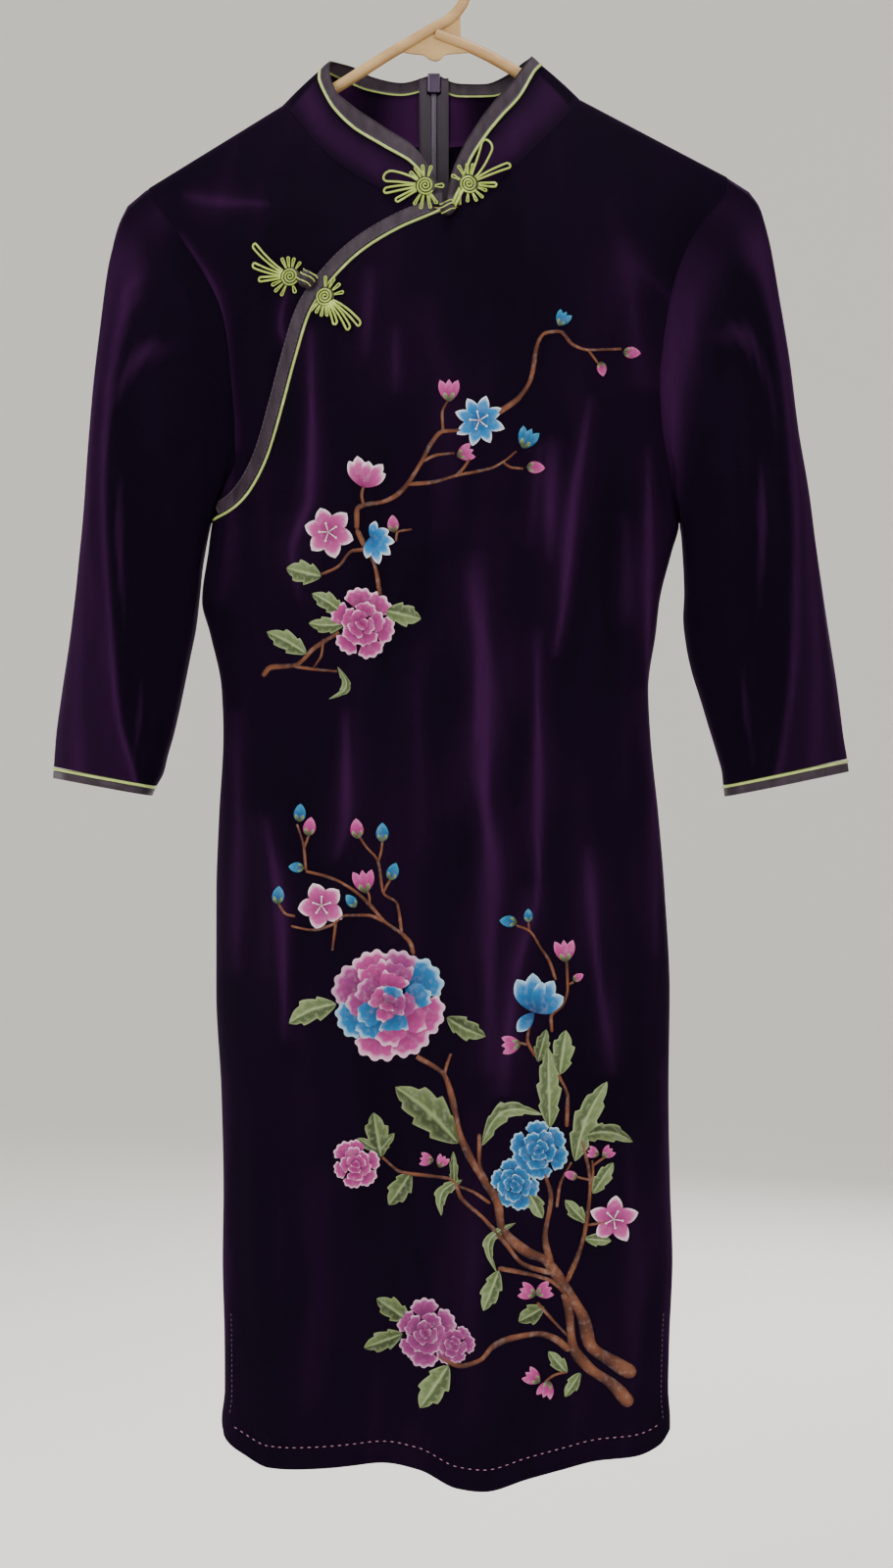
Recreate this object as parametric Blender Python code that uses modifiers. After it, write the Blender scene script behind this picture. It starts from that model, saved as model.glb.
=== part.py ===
# Velvet cheongsam dress with three-quarter sleeves, hanging on a plastic tube hanger.
# Sizes are in millimetres. "Drop" is the distance below the inside top of the hook.
# The front of the dress faces -Y, and left and right are the viewer's.

import math

import bmesh
import bpy
import numpy as np
from mathutils import Matrix, Vector

MM = 0.001

# Driving sizes
CLOTH = 1.5
BAND_WALL = 1.6
SEAM_HALF_GAP = 0.2
PIECE_GAP = 0.3
PIPING_RADIUS = 0.9
PIPING_ROOM = 1.25
PLACKET_BAND = 9.0
PLACKET_LIFT = 1.0
TUBE_RADIUS = 4.0
ARM_WRAP = 6.2
UNDERARM_DROP = 430.0
ROUNDING_DROPS = (350, 590)
BACK_CENTRE_TOP = -9.0
BACK_CENTRE_LOW = -3.0
ZIP_GAP = 0.9
ZIP_ROWS_BELOW = 4
ZIP_STANDOFF = 0.6
COLLAR_BACK = 22.3
COLLAR_INSIDE = 20.8
SLIDER_TOP = 107.5
SLIDER_SIZE = (9.0, 3.6, 14.0)
PULL_LENGTH = 20.0
FROG_DISC = 6.1
FROG_HEIGHT = 2.0
FROG_CORD = 1.3

# The body of the dress: side edges, depth of the front and back, and how far each
# armhole or slit edge stands off the side seam
BODY_COLUMNS = ("drop", "left", "right", "front", "back", "edge")
BODY_ROWS = (
    (100, -209, 197, 46, 20, 0),
    (194, -209, 197, 46, 21, 0),
    (228, -188.5, 174, 47, 23, 5),
    (254, -171.5, 162, 48, 25, 8),
    (283, -157, 154.5, 50, 26, 10),
    (307, -152, 151, 51, 26, 11),
    (335, -149.4, 148.6, 53, 27, 11),
    (364, -147.4, 150.3, 56, 27, 10),
    (386, -147.5, 154.5, 57, 27, 8),
    (408, -157, 158.5, 57, 27, 5),
    (430, -164.8, 163.6, 56, 26, 0),
    (450, -167.5, 158.5, 54, 25, 0),
    (485, -172, 149.8, 49, 23, 0),
    (507, -166.5, 147.3, 45, 21, 0),
    (547, -158.2, 141.9, 40, 18, 0),
    (578, -157, 143.3, 38, 18, 0),
    (640, -160.2, 149.5, 39, 22, 0),
    (690, -161.9, 153.5, 42, 27, 0),
    (760, -162, 157, 43, 30, 0),
    (830, -158.4, 156.2, 40, 28, 0),
    (900, -156.9, 157.4, 36, 25, 0),
    (948, -157.5, 159, 34, 23, 0),
    (1000, -156.3, 157, 31, 21, 0.3),
    (1040, -156, 156, 29, 20, 1.6),
    (1060, -158, 157.2, 28, 20, 2.6),
    (1110, -156, 155, 28, 20, 4),
)

# The line of the shoulders, carried on across the neck
SHOULDER_COLUMNS = ("x", "drop")
SHOULDER_ROWS = (
    (-250, 220), (-209, 194.5), (-115.5, 136.8), (-60, 104), (-20, 89),
    (20, 92), (60, 113), (94.3, 132.8), (197, 186.8), (250, 214),
)

# The hem, from side seam to side seam as a share of the half width
HEM_COLUMNS = ("share", "front", "back")
HEM_ROWS = (
    (-1, 1061, 1061), (-0.985, 1071, 1070), (-0.9, 1080, 1078), (-0.78, 1087, 1082),
    (-0.6, 1086, 1084), (-0.42, 1085, 1085), (-0.27, 1083, 1086), (-0.12, 1086, 1086),
    (0.05, 1097, 1086), (0.17, 1099, 1086), (0.35, 1093, 1085), (0.52, 1088, 1084),
    (0.68, 1083, 1082), (0.84, 1081, 1080), (0.95, 1075, 1075), (1, 1066, 1066),
)

# Soft folds: a path from top to bottom, half width, height out of the panel, and
# whether the fold runs out at the hem
FOLD_COLUMNS = ("x_top", "drop_top", "x_low", "drop_low", "half_width", "height", "to_hem")
FRONT_FOLDS = (
    (-88, 270, -94, 430, 26, 4.5, 0),
    (-101, 415, -98, 520, 24, 3.5, 0),
    (101, 300, 72, 560, 28, 5.5, 0),
    (128, 360, 130, 560, 22, 3.5, 0),
    (18, 430, 30, 860, 30, 4.5, 0),
    (64, 510, 46, 780, 24, -3.5, 0),
    (94, 640, 116, 880, 30, 4, 0),
    (-66, 530, -77, 720, 28, 4, 0),
    (-122, 600, -110, 840, 26, 3.5, 0),
    (-40, 330, -30, 520, 30, 2.5, 0),
    (-104, 840, -106, 1100, 44, 6, 1),
    (20, 800, 20, 1100, 58, 9, 1),
    (-50, 880, -48, 1100, 34, -3.5, 1),
    (96, 880, 98, 1100, 40, -3.5, 1),
)
BACK_FOLDS = (
    (-90, 260, -96, 520, 32, 4, 0),
    (84, 280, 92, 540, 32, 4, 0),
    (-60, 560, -84, 860, 36, 4.5, 0),
    (66, 600, 80, 900, 36, 4, 0),
    (118, 480, 112, 760, 26, 3, 0),
    (-70, 860, -66, 1100, 46, 6, 1),
    (10, 880, 12, 1100, 44, 4, 1),
    (84, 840, 86, 1100, 46, 6, 1),
)

# Collar stations from the zip round to the throat: neck seam, piping line and top edge
COLLAR_COLUMNS = ("seam_x", "seam_drop", "line_x", "line_y", "line_drop", "edge_x", "edge_y", "edge_drop")
COLLAR_LEFT = (
    (-9.9, 160, -10.4, 22.6, 117, -10.7, 22, 107.5),
    (-36, 157.5, -33, 21.8, 122, -32.5, 21, 113.5),
    (-64, 151.5, -55, 19.3, 119.5, -52, 18, 110.5),
    (-89, 144, -75, 13, 113, -68, 12, 104.5),
    (-106, 139, -85, 6.5, 110.5, -77.5, 6.5, 103.6),
    (-115.5, 136.8, -89, 0, 111, -82.3, 0, 104.8),
    (-110.3, 142.2, -89.4, -5, 118, -82.4, -4, 111),
    (-91.4, 169.2, -81.5, -17, 138.5, -78, -13.5, 128.5),
    (-71.2, 188.8, -66, -28, 158.5, -66, -24.5, 143),
    (-45.3, 206.6, -43, -38, 175.5, -44, -35.5, 161),
    (-23.8, 217, -24, -44, 188.5, -21.5, -42.7, 178),
    (-17.8, 219, -15.3, -46, 199.5, -9.2, -46, 196.5),
    (-14.4, 220.2, -11.6, -47, 211, -2.2, -47, 210),
)
COLLAR_RIGHT = (
    (-8.1, 160, -7.5, 22.6, 116.5, -7.2, 22, 106.8),
    (14, 158, 9.5, 21.8, 123, 8, 21.2, 113.8),
    (42, 152.5, 32, 19.3, 123.5, 27.5, 18.4, 115),
    (68, 145.5, 50.5, 14.5, 117.5, 44, 12.8, 109.8),
    (85, 138.6, 61.5, 7.5, 110.5, 54.5, 6.6, 103.5),
    (94.3, 132.8, 66.6, 0, 107.5, 60, 0, 101.4),
    (88.5, 141.5, 62, -6.5, 113.5, 56.3, -5, 106.8),
    (71.2, 163, 50.6, -17.5, 135.4, 45.5, -15, 124),
    (55.8, 180.5, 38, -28, 152, 31.5, -27.5, 143),
    (41.4, 195.5, 26.5, -36.5, 168.5, 19, -36.5, 163),
    (24, 211.5, 15.5, -43.5, 188, 7.8, -43, 184.5),
    (15.6, 217.5, 10.6, -46.3, 203, 2.2, -46.3, 201),
    (12, 219.3, 9.2, -47, 212, 0.3, -47, 212),
)
BAND_END_DROP = 219.0

# The placket, from the throat to the underarm, along its piping
PLACKET_POINTS = (
    (-4, 224.6), (-16.4, 230.2), (-28, 235.2), (-47.8, 246.2), (-62, 256.5), (-75.3, 269.5),
    (-85, 281), (-92.7, 294), (-101.5, 321), (-110.9, 353.6), (-121.2, 384.7),
    (-135.4, 411.1), (-149, 423), (-164.4, 429.6),
)

PLACKET_BY_DROP = ([p[1] for p in PLACKET_POINTS], [p[0] for p in PLACKET_POINTS])

# Sleeves from shoulder to cuff: the outer and inner edges, half depth, and where the
# front crease lies as a share of the way from the outer edge
SLEEVE_COLUMNS = ("outer_x", "outer_drop", "inner_x", "inner_drop", "depth", "crease")
SLEEVE_LEFT = (
    (-224.5, 207, -167.2, 438, 15, 0.46),
    (-231, 221, -169, 448, 17, 0.44),
    (-237, 246, -171.5, 463, 20, 0.4),
    (-243, 293, -173.6, 484, 22, 0.36),
    (-247.5, 332, -176, 504, 23, 0.35),
    (-251.5, 378, -180, 524, 23, 0.36),
    (-255, 425, -184.2, 545, 23, 0.4),
    (-259.5, 465, -188, 563, 22, 0.46),
    (-264.5, 507, -192, 580, 21, 0.52),
    (-270.5, 548, -196, 594, 20, 0.6),
    (-274.8, 580, -199, 606, 19, 0.66),
    (-276.4, 601.5, -203.8, 615, 18, 0.7),
    (-277, 609.5, -207, 622, 18, 0.72),
)
SLEEVE_RIGHT = (
    (213, 197, 165.3, 441, 15, 0.46),
    (220.5, 208, 166, 452, 17, 0.44),
    (226, 229, 166.8, 465, 20, 0.4),
    (233, 270, 167.2, 480, 22, 0.36),
    (240.5, 315, 166.5, 497, 23, 0.36),
    (247, 365, 168.5, 516, 23, 0.38),
    (254.5, 407, 172, 533, 23, 0.42),
    (261, 452, 178.5, 554, 22, 0.48),
    (268, 500, 184.5, 574, 21, 0.54),
    (274.6, 543, 190, 592, 20, 0.62),
    (279.5, 581, 193.8, 606, 19, 0.68),
    (282, 596, 194.6, 614.5, 18, 0.7),
    (283.2, 605, 195.6, 622.5, 18, 0.72),
)

# Frog petals: direction in degrees, reach from the disc centre, width, open loop or not
PETAL_COLUMNS = ("angle", "reach", "width", "open")
THROAT_LEFT_PETALS = (
    (0, 13, 3.6, 0), (73, 14.3, 2.5, 0), (98, 14.5, 2.5, 0), (119, 15, 2.5, 0), (137, 14.5, 2.5, 0),
    (157, 30, 9, 1), (181, 29, 5.4, 1), (203, 23, 4.4, 1),
    (239, 15.3, 2.6, 0), (259, 16.6, 2.6, 0), (283, 16.4, 2.6, 0), (303, 15, 2.6, 0),
)
THROAT_RIGHT_PETALS = (
    (-94, 12.8, 2.5, 0), (-65, 13.2, 2.6, 0), (-42, 13.5, 2.6, 0), (-16, 13.2, 2.6, 0),
    (3, 19.7, 4.4, 1), (33, 33, 5, 1), (60, 34, 9.5, 1),
    (78, 14.5, 2.4, 0), (95, 14, 2.5, 0), (120, 14.5, 2.6, 0), (154, 13.2, 2.8, 0),
)
PLACKET_UPPER_PETALS = (
    (52, 12.2, 2.6, 0), (77, 13.2, 2.6, 0), (96, 14.2, 2.6, 0), (114, 14.8, 2.6, 0),
    (144, 36, 4.8, 1), (163, 29, 4.8, 1), (180, 22.8, 4.4, 1),
    (200, 14.2, 2.8, 0), (221, 14.6, 2.6, 0), (244, 14.4, 2.6, 0), (288, 12.6, 3, 0),
)
PLACKET_LOWER_PETALS = (
    (-138, 13.8, 2.6, 0), (-119, 13, 2.6, 0), (-100, 14.2, 2.5, 0), (-83, 14.4, 2.5, 0),
    (-66, 22, 4.4, 1), (-48, 29.5, 4.8, 1), (-33, 32.5, 5, 1),
    (9, 13.4, 2.8, 0), (37, 13.4, 2.8, 0), (62, 14, 2.6, 0), (88, 14.2, 2.6, 0),
)

# Frog halves and knots: centre across and down, and what lies under them on the panel
FROG_PLACES = {
    "frog_top_left": (-14.4, 207.0, PIPING_RADIUS, THROAT_LEFT_PETALS),
    "frog_top_right": (15.1, 205.5, PIPING_RADIUS, THROAT_RIGHT_PETALS),
    "frog_low_upper": (-107.0, 266.6, 0.0, PLACKET_UPPER_PETALS),
    "frog_low_lower": (-82.6, 282.6, PLACKET_LIFT + BAND_WALL, PLACKET_LOWER_PETALS),
}
KNOT_PLACES = {
    "frog_top_knot": (0.7, 223.4, 0.0, 5.2),
    "frog_low_knot": (-95.2, 270.6, PLACKET_LIFT + BAND_WALL, 6.2),
}

# Hanger tube: one path from the hook's tip round the arms and the lower bar
HOOK_RADIUS = 22.0
ARM_LEFT_POINTS = (
    (13, 62), (7.7, 70.3), (2, 75.7), (-11.9, 83.3), (-25.1, 91.4), (-38.3, 98.9),
    (-80, 125), (-150, 165.6), (-196, 193),
)
BAR_TURN = 10.0
BAR_POINTS = ((-186, 216), (-90, 213.5), (90, 210), (178, 208.5))
ARM_RIGHT_POINTS = (
    (187, 187.8), (150, 169), (96, 142.4), (62, 121), (50, 113), (30.7, 101.8), (14.5, 94.1), (-3.4, 87.4),
)
WEB_WALL = 2.0
WEB_OUTLINE = (
    (-31.5, 100.4), (-25.1, 96.8), (-12, 89.1), (-9, 88.2), (-5.8, 92.1), (-3.4, 92.5), (14.5, 99.2),
    (-0.3, 100.6), (-3.8, 104.1), (-7.9, 105.2), (-12.4, 103.7), (-16.9, 100.8),
)
GUSSET_OUTLINE = ((9.9, 75.4), (10, 87.1), (2.2, 84.2), (2.6, 81.8), (5.2, 79.6))


def columns_of(names, rows):
    """Turn rows into one array for each named column."""
    return {name: np.array([row[i] for row in rows], dtype=float) for i, name in enumerate(names)}


BODY = columns_of(BODY_COLUMNS, BODY_ROWS)
SHOULDER = columns_of(SHOULDER_COLUMNS, SHOULDER_ROWS)
HEM = columns_of(HEM_COLUMNS, HEM_ROWS)


def smooth(keys, values, at):
    """Read a column between its rows along a smooth curve that adds no wiggles."""
    if at <= keys[0]:
        return float(values[0])
    if at >= keys[-1]:
        return float(values[-1])
    i = int(np.searchsorted(keys, at, side="right")) - 1
    steps = np.diff(keys)
    slopes = np.diff(values) / steps

    def tangent(k):
        if k == 0:
            return slopes[0]
        if k == len(slopes):
            return slopes[-1]
        if slopes[k - 1] * slopes[k] <= 0:
            return 0.0
        return 2.0 * slopes[k - 1] * slopes[k] / (slopes[k - 1] + slopes[k])

    width = steps[i]
    t = (at - keys[i]) / width
    start = (1 + 2 * t) * (1 - t) ** 2 * values[i] + t * (1 - t) ** 2 * width * tangent(i)
    end = t * t * (3 - 2 * t) * values[i + 1] + t * t * (t - 1) * width * tangent(i + 1)
    return float(start + end)


def body_at(name, drop):
    return smooth(BODY["drop"], BODY[name], drop)


SHOULDER_TIPS = {-1: (-209.0, 194.5), 1: (197.0, 186.8)}


def shoulder_drop(x):
    return float(np.interp(x, SHOULDER["x"], SHOULDER["drop"]))


def ease(low, high, at):
    t = min(max((at - low) / (high - low), 0.0), 1.0)
    return t * t * (3 - 2 * t)


class Path:
    """A smooth curve through points, read from 0 to 1 along its length."""

    def __init__(self, points):
        self.points = np.array(points, dtype=float)
        lengths = np.linalg.norm(np.diff(self.points, axis=0), axis=1)
        self.length = float(lengths.sum())
        self.keys = np.concatenate(([0.0], np.cumsum(lengths))) / self.length

    def at(self, t):
        return np.array([smooth(self.keys, column, t) for column in self.points.T])

    def normal(self, t):
        ahead = self.at(min(t + 0.01, 1.0)) - self.at(max(t - 0.01, 0.0))
        ahead /= np.linalg.norm(ahead)
        return np.array([-ahead[1], ahead[0]])

    def beside(self, t, distance):
        return self.at(t) + self.normal(t) * distance


class SideEdge:
    """A side edge of the body between two levels, read from 0 at the top to 1."""

    def __init__(self, side, top, low):
        self.name = "left" if side < 0 else "right"
        self.top, self.low = top, low

    def at(self, t):
        drop = self.top + (self.low - self.top) * t
        return np.array([body_at(self.name, drop), drop])


def fold_height(folds, x, drop):
    total = 0.0
    for x_top, drop_top, x_low, drop_low, half_width, height, to_hem in folds:
        t = (drop - drop_top) / (drop_low - drop_top)
        if t <= 0 or (t >= 1 and not to_hem):
            continue
        t = min(t, 1.0)
        away = abs(x - (x_top + (x_low - x_top) * t)) / half_width
        if away >= 1:
            continue
        run = ease(0, 1, t) if to_hem else math.sin(math.pi * t) ** 0.8
        total += height * run * 0.5 * (1 + math.cos(math.pi * away))
    return total


def edge_depth(drop, over):
    """How far a panel's armhole or slit edge stands from the middle plane."""
    wrap = math.sqrt(max(0.0, 1 - (1 - min(max(over, 0.0) / ARM_WRAP, 1.0)) ** 2)) * ARM_WRAP
    return SEAM_HALF_GAP + wrap * (1 - ease(330, UNDERARM_DROP, drop)) + body_at("edge", drop)


def panel_y(x, drop, back=False):
    """Outer face of the front or back of the dress."""
    left, right = body_at("left", drop), body_at("right", drop)
    share = min(abs(x - (left + right) / 2) / ((right - left) / 2), 1.0)
    flat = 1 - share ** 2.2
    round_side = math.sqrt(1 - share ** 2.4)
    below = ease(*ROUNDING_DROPS, drop)
    shape = flat * (1 - below) + round_side * below
    over = drop - shoulder_drop(x)
    rise = 40.0 if back else 62.0
    fall = 1 - math.exp(-max(over, 0.0) / rise)
    depth = edge_depth(drop, over) + body_at("back" if back else "front", drop) * fall * shape
    calm = min(1.0, (1 - share) * 8)
    if not back:
        placket_x = float(np.interp(drop, *PLACKET_BY_DROP))
        calm *= ease(4, 26, abs(x - placket_x)) if drop < UNDERARM_DROP else 1.0
    depth += calm * fold_height(BACK_FOLDS if back else FRONT_FOLDS, x, drop)
    return depth if back else -depth


def back_centre(drop):
    return BACK_CENTRE_TOP + (BACK_CENTRE_LOW - BACK_CENTRE_TOP) * ease(160, 700, drop)


def panel_point(place, back=False, lift=0.0):
    x, drop = place
    y = panel_y(x, drop, back)
    return (x, y + (lift if back else -lift), -drop)


def lifted(place, lift):
    """A point square above the front panel's face."""
    x, drop = place
    across = (panel_y(x + 0.5, drop) - panel_y(x - 0.5, drop))
    down = (panel_y(x, drop + 0.5) - panel_y(x, drop - 0.5))
    out = Vector((across, -1, -down)).normalized()
    return tuple(Vector((x, panel_y(x, drop), -drop)) + out * lift)


def patch(top, bottom, left, right, u, v):
    """A point inside four edge curves that share their corners."""
    across = (1 - v) * top(u) + v * bottom(u)
    down = (1 - u) * left(v) + u * right(v)
    corners = (1 - u) * (1 - v) * top(0) + u * (1 - v) * top(1) + (1 - u) * v * bottom(0) + u * v * bottom(1)
    return across + down - corners


# Materials

def material(name, colour, roughness, metallic=0.0, sheen=0.0):
    made = bpy.data.materials.new(name)
    made.use_nodes = True
    shader = made.node_tree.nodes["Principled BSDF"]
    shader.inputs["Base Color"].default_value = (*colour, 1)
    shader.inputs["Roughness"].default_value = roughness
    shader.inputs["Metallic"].default_value = metallic
    shader.inputs["Sheen Weight"].default_value = sheen
    return made


VELVET = {"colour": (0.022, 0.005, 0.03), "roughness": 0.85, "sheen": 0.8}
SATIN = {"colour": (0.06, 0.04, 0.06), "roughness": 0.42}
LIME = {"colour": (0.55, 0.7, 0.16), "roughness": 0.6}
PIPING = {"colour": (0.58, 0.68, 0.28), "roughness": 0.55}
TAPE = {"colour": (0.07, 0.05, 0.09), "roughness": 0.7}
ENAMEL = {"colour": (0.1, 0.05, 0.13), "roughness": 0.3, "metallic": 0.6}
PLASTIC = {"colour": (0.6, 0.42, 0.2), "roughness": 0.4}


# Making solids

def new_object(name, mesh, look):
    thing = bpy.data.objects.new(name, mesh)
    thing.data.materials.clear()
    thing.data.materials.append(material(name, **look))
    part_collection.objects.link(thing)
    return thing


def sheet(name, rows, look, wall=CLOTH, closed=False, side=0):
    """A cloth wall: a grid of outer points with its thickness inside.

    A panel that is sewn along the middle plane stays on its own side of it, -1 or 1.
    """
    mesh = bpy.data.meshes.new(name)
    grid = bmesh.new()
    verts = [[grid.verts.new(Vector(p) * MM) for p in row] for row in rows]
    count = len(rows[0])
    spans = count if closed else count - 1
    for upper, lower in zip(verts, verts[1:]):
        for i in range(spans):
            j = (i + 1) % count
            grid.faces.new((upper[i], lower[i], lower[j], upper[j]))
    grid.normal_update()
    centres = [sum((Vector(p) for p in row), Vector()) / count * MM for row in rows]
    turned = 0.0
    for k, face in enumerate(grid.faces):
        inside = centres[k // spans] if closed else Vector((-5 * MM, 0, face.calc_center_median().z))
        turned += face.normal.dot(face.calc_center_median() - inside)
    if turned < 0:
        bmesh.ops.reverse_faces(grid, faces=grid.faces[:])
    grid.to_mesh(mesh)
    grid.free()
    mesh.shade_smooth()
    thing = new_object(name, mesh, look)
    solid = thing.modifiers.new("wall", "SOLIDIFY")
    solid.thickness = wall * MM
    solid.offset = -1
    if side:
        bpy.context.view_layer.update()
        seen = thing.evaluated_get(bpy.context.evaluated_depsgraph_get())
        thick = bpy.data.meshes.new_from_object(seen)
        thing.modifiers.remove(solid)
        for vert in thick.vertices:
            vert.co.y = side * max(side * vert.co.y, SEAM_HALF_GAP * MM)
        thing.data = thick
    return thing


def tube(name, points, radius, look, cyclic=False, fineness=1):
    """A round cord or rod along a line of points, with filled ends."""
    line = bpy.data.curves.new(name, "CURVE")
    line.dimensions = "3D"
    line.bevel_depth = radius * MM
    line.bevel_resolution = fineness
    line.use_fill_caps = True
    spline = line.splines.new("POLY")
    spline.points.add(len(points) - 1)
    for target, p in zip(spline.points, points):
        target.co = (*(Vector(p) * MM), 1)
    spline.use_cyclic_u = cyclic
    spline.use_smooth = True
    line.materials.append(material(name, **look))
    thing = bpy.data.objects.new(name, line)
    part_collection.objects.link(thing)
    return thing


def flat_outline(name, outlines, thickness, look):
    """A flat plate in the XZ plane from one outline and its holes, as a welded mesh."""
    line = bpy.data.curves.new(name, "CURVE")
    line.dimensions = "2D"
    line.fill_mode = "BOTH"
    line.extrude = thickness / 2 * MM
    for outline in outlines:
        spline = line.splines.new("POLY")
        spline.points.add(len(outline) - 1)
        for target, p in zip(spline.points, outline):
            target.co = (p[0] * MM, p[1] * MM, 0, 1)
        spline.use_cyclic_u = True
    flat = bpy.data.objects.new(name + "_outline", line)
    bpy.context.collection.objects.link(flat)
    bpy.context.view_layer.update()
    seen = flat.evaluated_get(bpy.context.evaluated_depsgraph_get())
    mesh = bpy.data.meshes.new_from_object(seen)
    bpy.data.objects.remove(flat)
    clean = bmesh.new()
    clean.from_mesh(mesh)
    bmesh.ops.remove_doubles(clean, verts=clean.verts[:], dist=0.00001)
    bmesh.ops.rotate(clean, verts=clean.verts[:], matrix=quarter_turn("X"))
    bmesh.ops.recalc_face_normals(clean, faces=clean.faces[:])
    clean.to_mesh(mesh)
    clean.free()
    return new_object(name, mesh, look)


def quarter_turn(axis):
    return Matrix.Rotation(math.pi / 2, 3, axis)


# Panels of the body

EDGE_STEPS = (0.0, 0.0015, 0.012, 0.05)
BACK_STEPS = 9
FRONT_STEPS = 10
WRAP_STEPS = (0.0, 0.001, 0.0065)
ARMHOLE_STEPS = (0.022, 0.08, 0.211, 0.343, 0.474, 0.606, 0.737, 0.85, 0.93, 0.975, 1.0)
LOWER_ROWS = 17
PATCH_DROP = 470.0


def half_shares(middle_steps):
    """Shares from the side seam in to the middle, close together round the side."""
    inner = np.linspace(0.13, 1.0, middle_steps)
    return [1 - step for step in EDGE_STEPS] + [1 - step for step in inner]


def panel_rows(reach=1.0):
    """Rows of a panel's upper part, the same levels as the points round the armhole."""
    rows = [step * reach for step in WRAP_STEPS + ARMHOLE_STEPS]
    return rows if reach == 1.0 else rows + [1.0]


def lower_rows(shares, start, back, side=0):
    """Rows of points from a level line to the hem."""
    rows = []
    for step in range(1, LOWER_ROWS + 1):
        row = []
        for share in shares:
            hem = smooth(HEM["share"], HEM["back" if back else "front"], share)
            drop = start + (hem - start) * step / LOWER_ROWS
            row.append((across_at(share, drop, side), drop))
        rows.append(row)
    return rows


def across_at(share, drop, side=0):
    """Place across the body; a back half starts at the zip line instead of the middle."""
    left, right = body_at("left", drop), body_at("right", drop)
    if side == 0:
        return (left + right) / 2 + share * (right - left) / 2
    centre = back_centre(drop) + side * ZIP_GAP
    outer = left if side < 0 else right
    return centre + abs(share) * (outer - centre)


def armhole(side, low=UNDERARM_DROP):
    return SideEdge(side, SHOULDER_TIPS[side][1], low)


def neck_front(stations, centre):
    seam = [(row[0], row[1]) for row in stations[5:]]
    return Path(seam + [centre])


def neck_back(stations):
    return Path([(row[0], row[1]) for row in stations[:6]])


PLACKET = Path(PLACKET_POINTS)
PLACKET_STEPS = 16
PLACKET_ENDS = (0.94, 0.978, 0.994, 1.0)
NECK_SHARE = 0.677
NECK_PLACES = (1.0, 0.862, 0.772, 0.6, 0.42, 0.25, 0.07, 0.0)
BACK_NECK_SHARE = 0.54375


def placket_place(step):
    """Share of the placket's length at a column of the front, from the throat."""
    inner = np.linspace(0.0, 0.88, PLACKET_STEPS - 3)
    return float(list(inner)[step]) if step < len(inner) else PLACKET_ENDS[step - len(inner)]


def front_main():
    neck = neck_front(COLLAR_RIGHT, PLACKET_POINTS[0])
    seam = Path([COLLAR_RIGHT[5][:2], SHOULDER_TIPS[1]])
    left_shares = half_shares(PLACKET_STEPS + 1 - len(EDGE_STEPS))
    right_shares = half_shares(FRONT_STEPS)[-2::-1]
    shares = [-s for s in left_shares] + right_shares
    top_points = [PLACKET.at(placket_place(PLACKET_STEPS - k)) for k in range(PLACKET_STEPS + 1)]
    for s in right_shares:
        if s < NECK_SHARE + 0.01:
            column = min(s / NECK_SHARE, 1.0) * (len(NECK_PLACES) - 1)
            top_points.append(neck.at(NECK_PLACES[round(column)]))
        else:
            top_points.append(seam.at((s - NECK_SHARE) / (1 - NECK_SHARE)))
    places = [(s + 1) / 2 for s in shares]
    top_points = np.array(top_points)
    low_left, low_right = across_at(-1, PATCH_DROP), across_at(1, PATCH_DROP)
    left = SideEdge(-1, PLACKET_POINTS[-1][1], PATCH_DROP)
    right = armhole(1, PATCH_DROP)

    def top(u):
        return np.array([np.interp(u, places, top_points[:, i]) for i in (0, 1)])

    def bottom(u):
        return np.array([low_left + (low_right - low_left) * u, PATCH_DROP])

    rows = []
    for v in panel_rows((UNDERARM_DROP - SHOULDER_TIPS[1][1]) / (PATCH_DROP - SHOULDER_TIPS[1][1])):
        rows.append([patch(top, bottom, left.at, right.at, u, v) for u in places])
    rows += lower_rows(shares, PATCH_DROP, back=False)
    return sheet("front_main", [[panel_point(p) for p in row] for row in rows], VELVET, side=-1)


def front_shoulder():
    low = [PLACKET.beside(placket_place(k), 2 * PIPING_ROOM) for k in range(PLACKET_STEPS + 1)]
    for point in low:
        point[0] = max(point[0], body_at("left", point[1]))
    low = np.array(low)
    arm = armhole(-1, low[-1][1])
    neck = neck_front(COLLAR_LEFT, tuple(low[0]))
    seam = Path([SHOULDER_TIPS[-1], COLLAR_LEFT[5][:2]])
    places = [1 - placket_place(PLACKET_STEPS - k) for k in range(PLACKET_STEPS + 1)]

    def bottom(u):
        return np.array([np.interp(u, places, low[::-1, i]) for i in (0, 1)])

    rows = []
    for v in panel_rows():
        rows.append([patch(seam.at, bottom, arm.at, neck.at, u, v) for u in places])
    return sheet("front_shoulder", [[panel_point(p) for p in row] for row in rows], VELVET, side=-1)


def back_half(name, side):
    stations = COLLAR_LEFT if side < 0 else COLLAR_RIGHT
    neck = neck_back(stations)
    seam = Path([stations[5][:2], SHOULDER_TIPS[side]])
    arm = armhole(side)
    shares = half_shares(BACK_STEPS)[::-1]
    start = neck.at(0)

    def top(u):
        if u < BACK_NECK_SHARE:
            return neck.at(1 - (1 - u / BACK_NECK_SHARE) ** 1.6)
        return seam.at((u - BACK_NECK_SHARE) / (1 - BACK_NECK_SHARE))

    def centre_seam(v):
        drop = start[1] + (UNDERARM_DROP - start[1]) * v
        return np.array([back_centre(drop) + side * ZIP_GAP, drop])

    def bottom(u):
        low = centre_seam(1)
        return low + (arm.at(1) - low) * u

    rows = []
    for v in panel_rows():
        rows.append([patch(top, bottom, centre_seam, arm.at, s, v) for s in shares])
    rows += lower_rows([side * s for s in shares], UNDERARM_DROP, True, side)
    return sheet(name, [[panel_point(p, back=True) for p in row] for row in rows], VELVET, side=1)


# Sleeves

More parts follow.
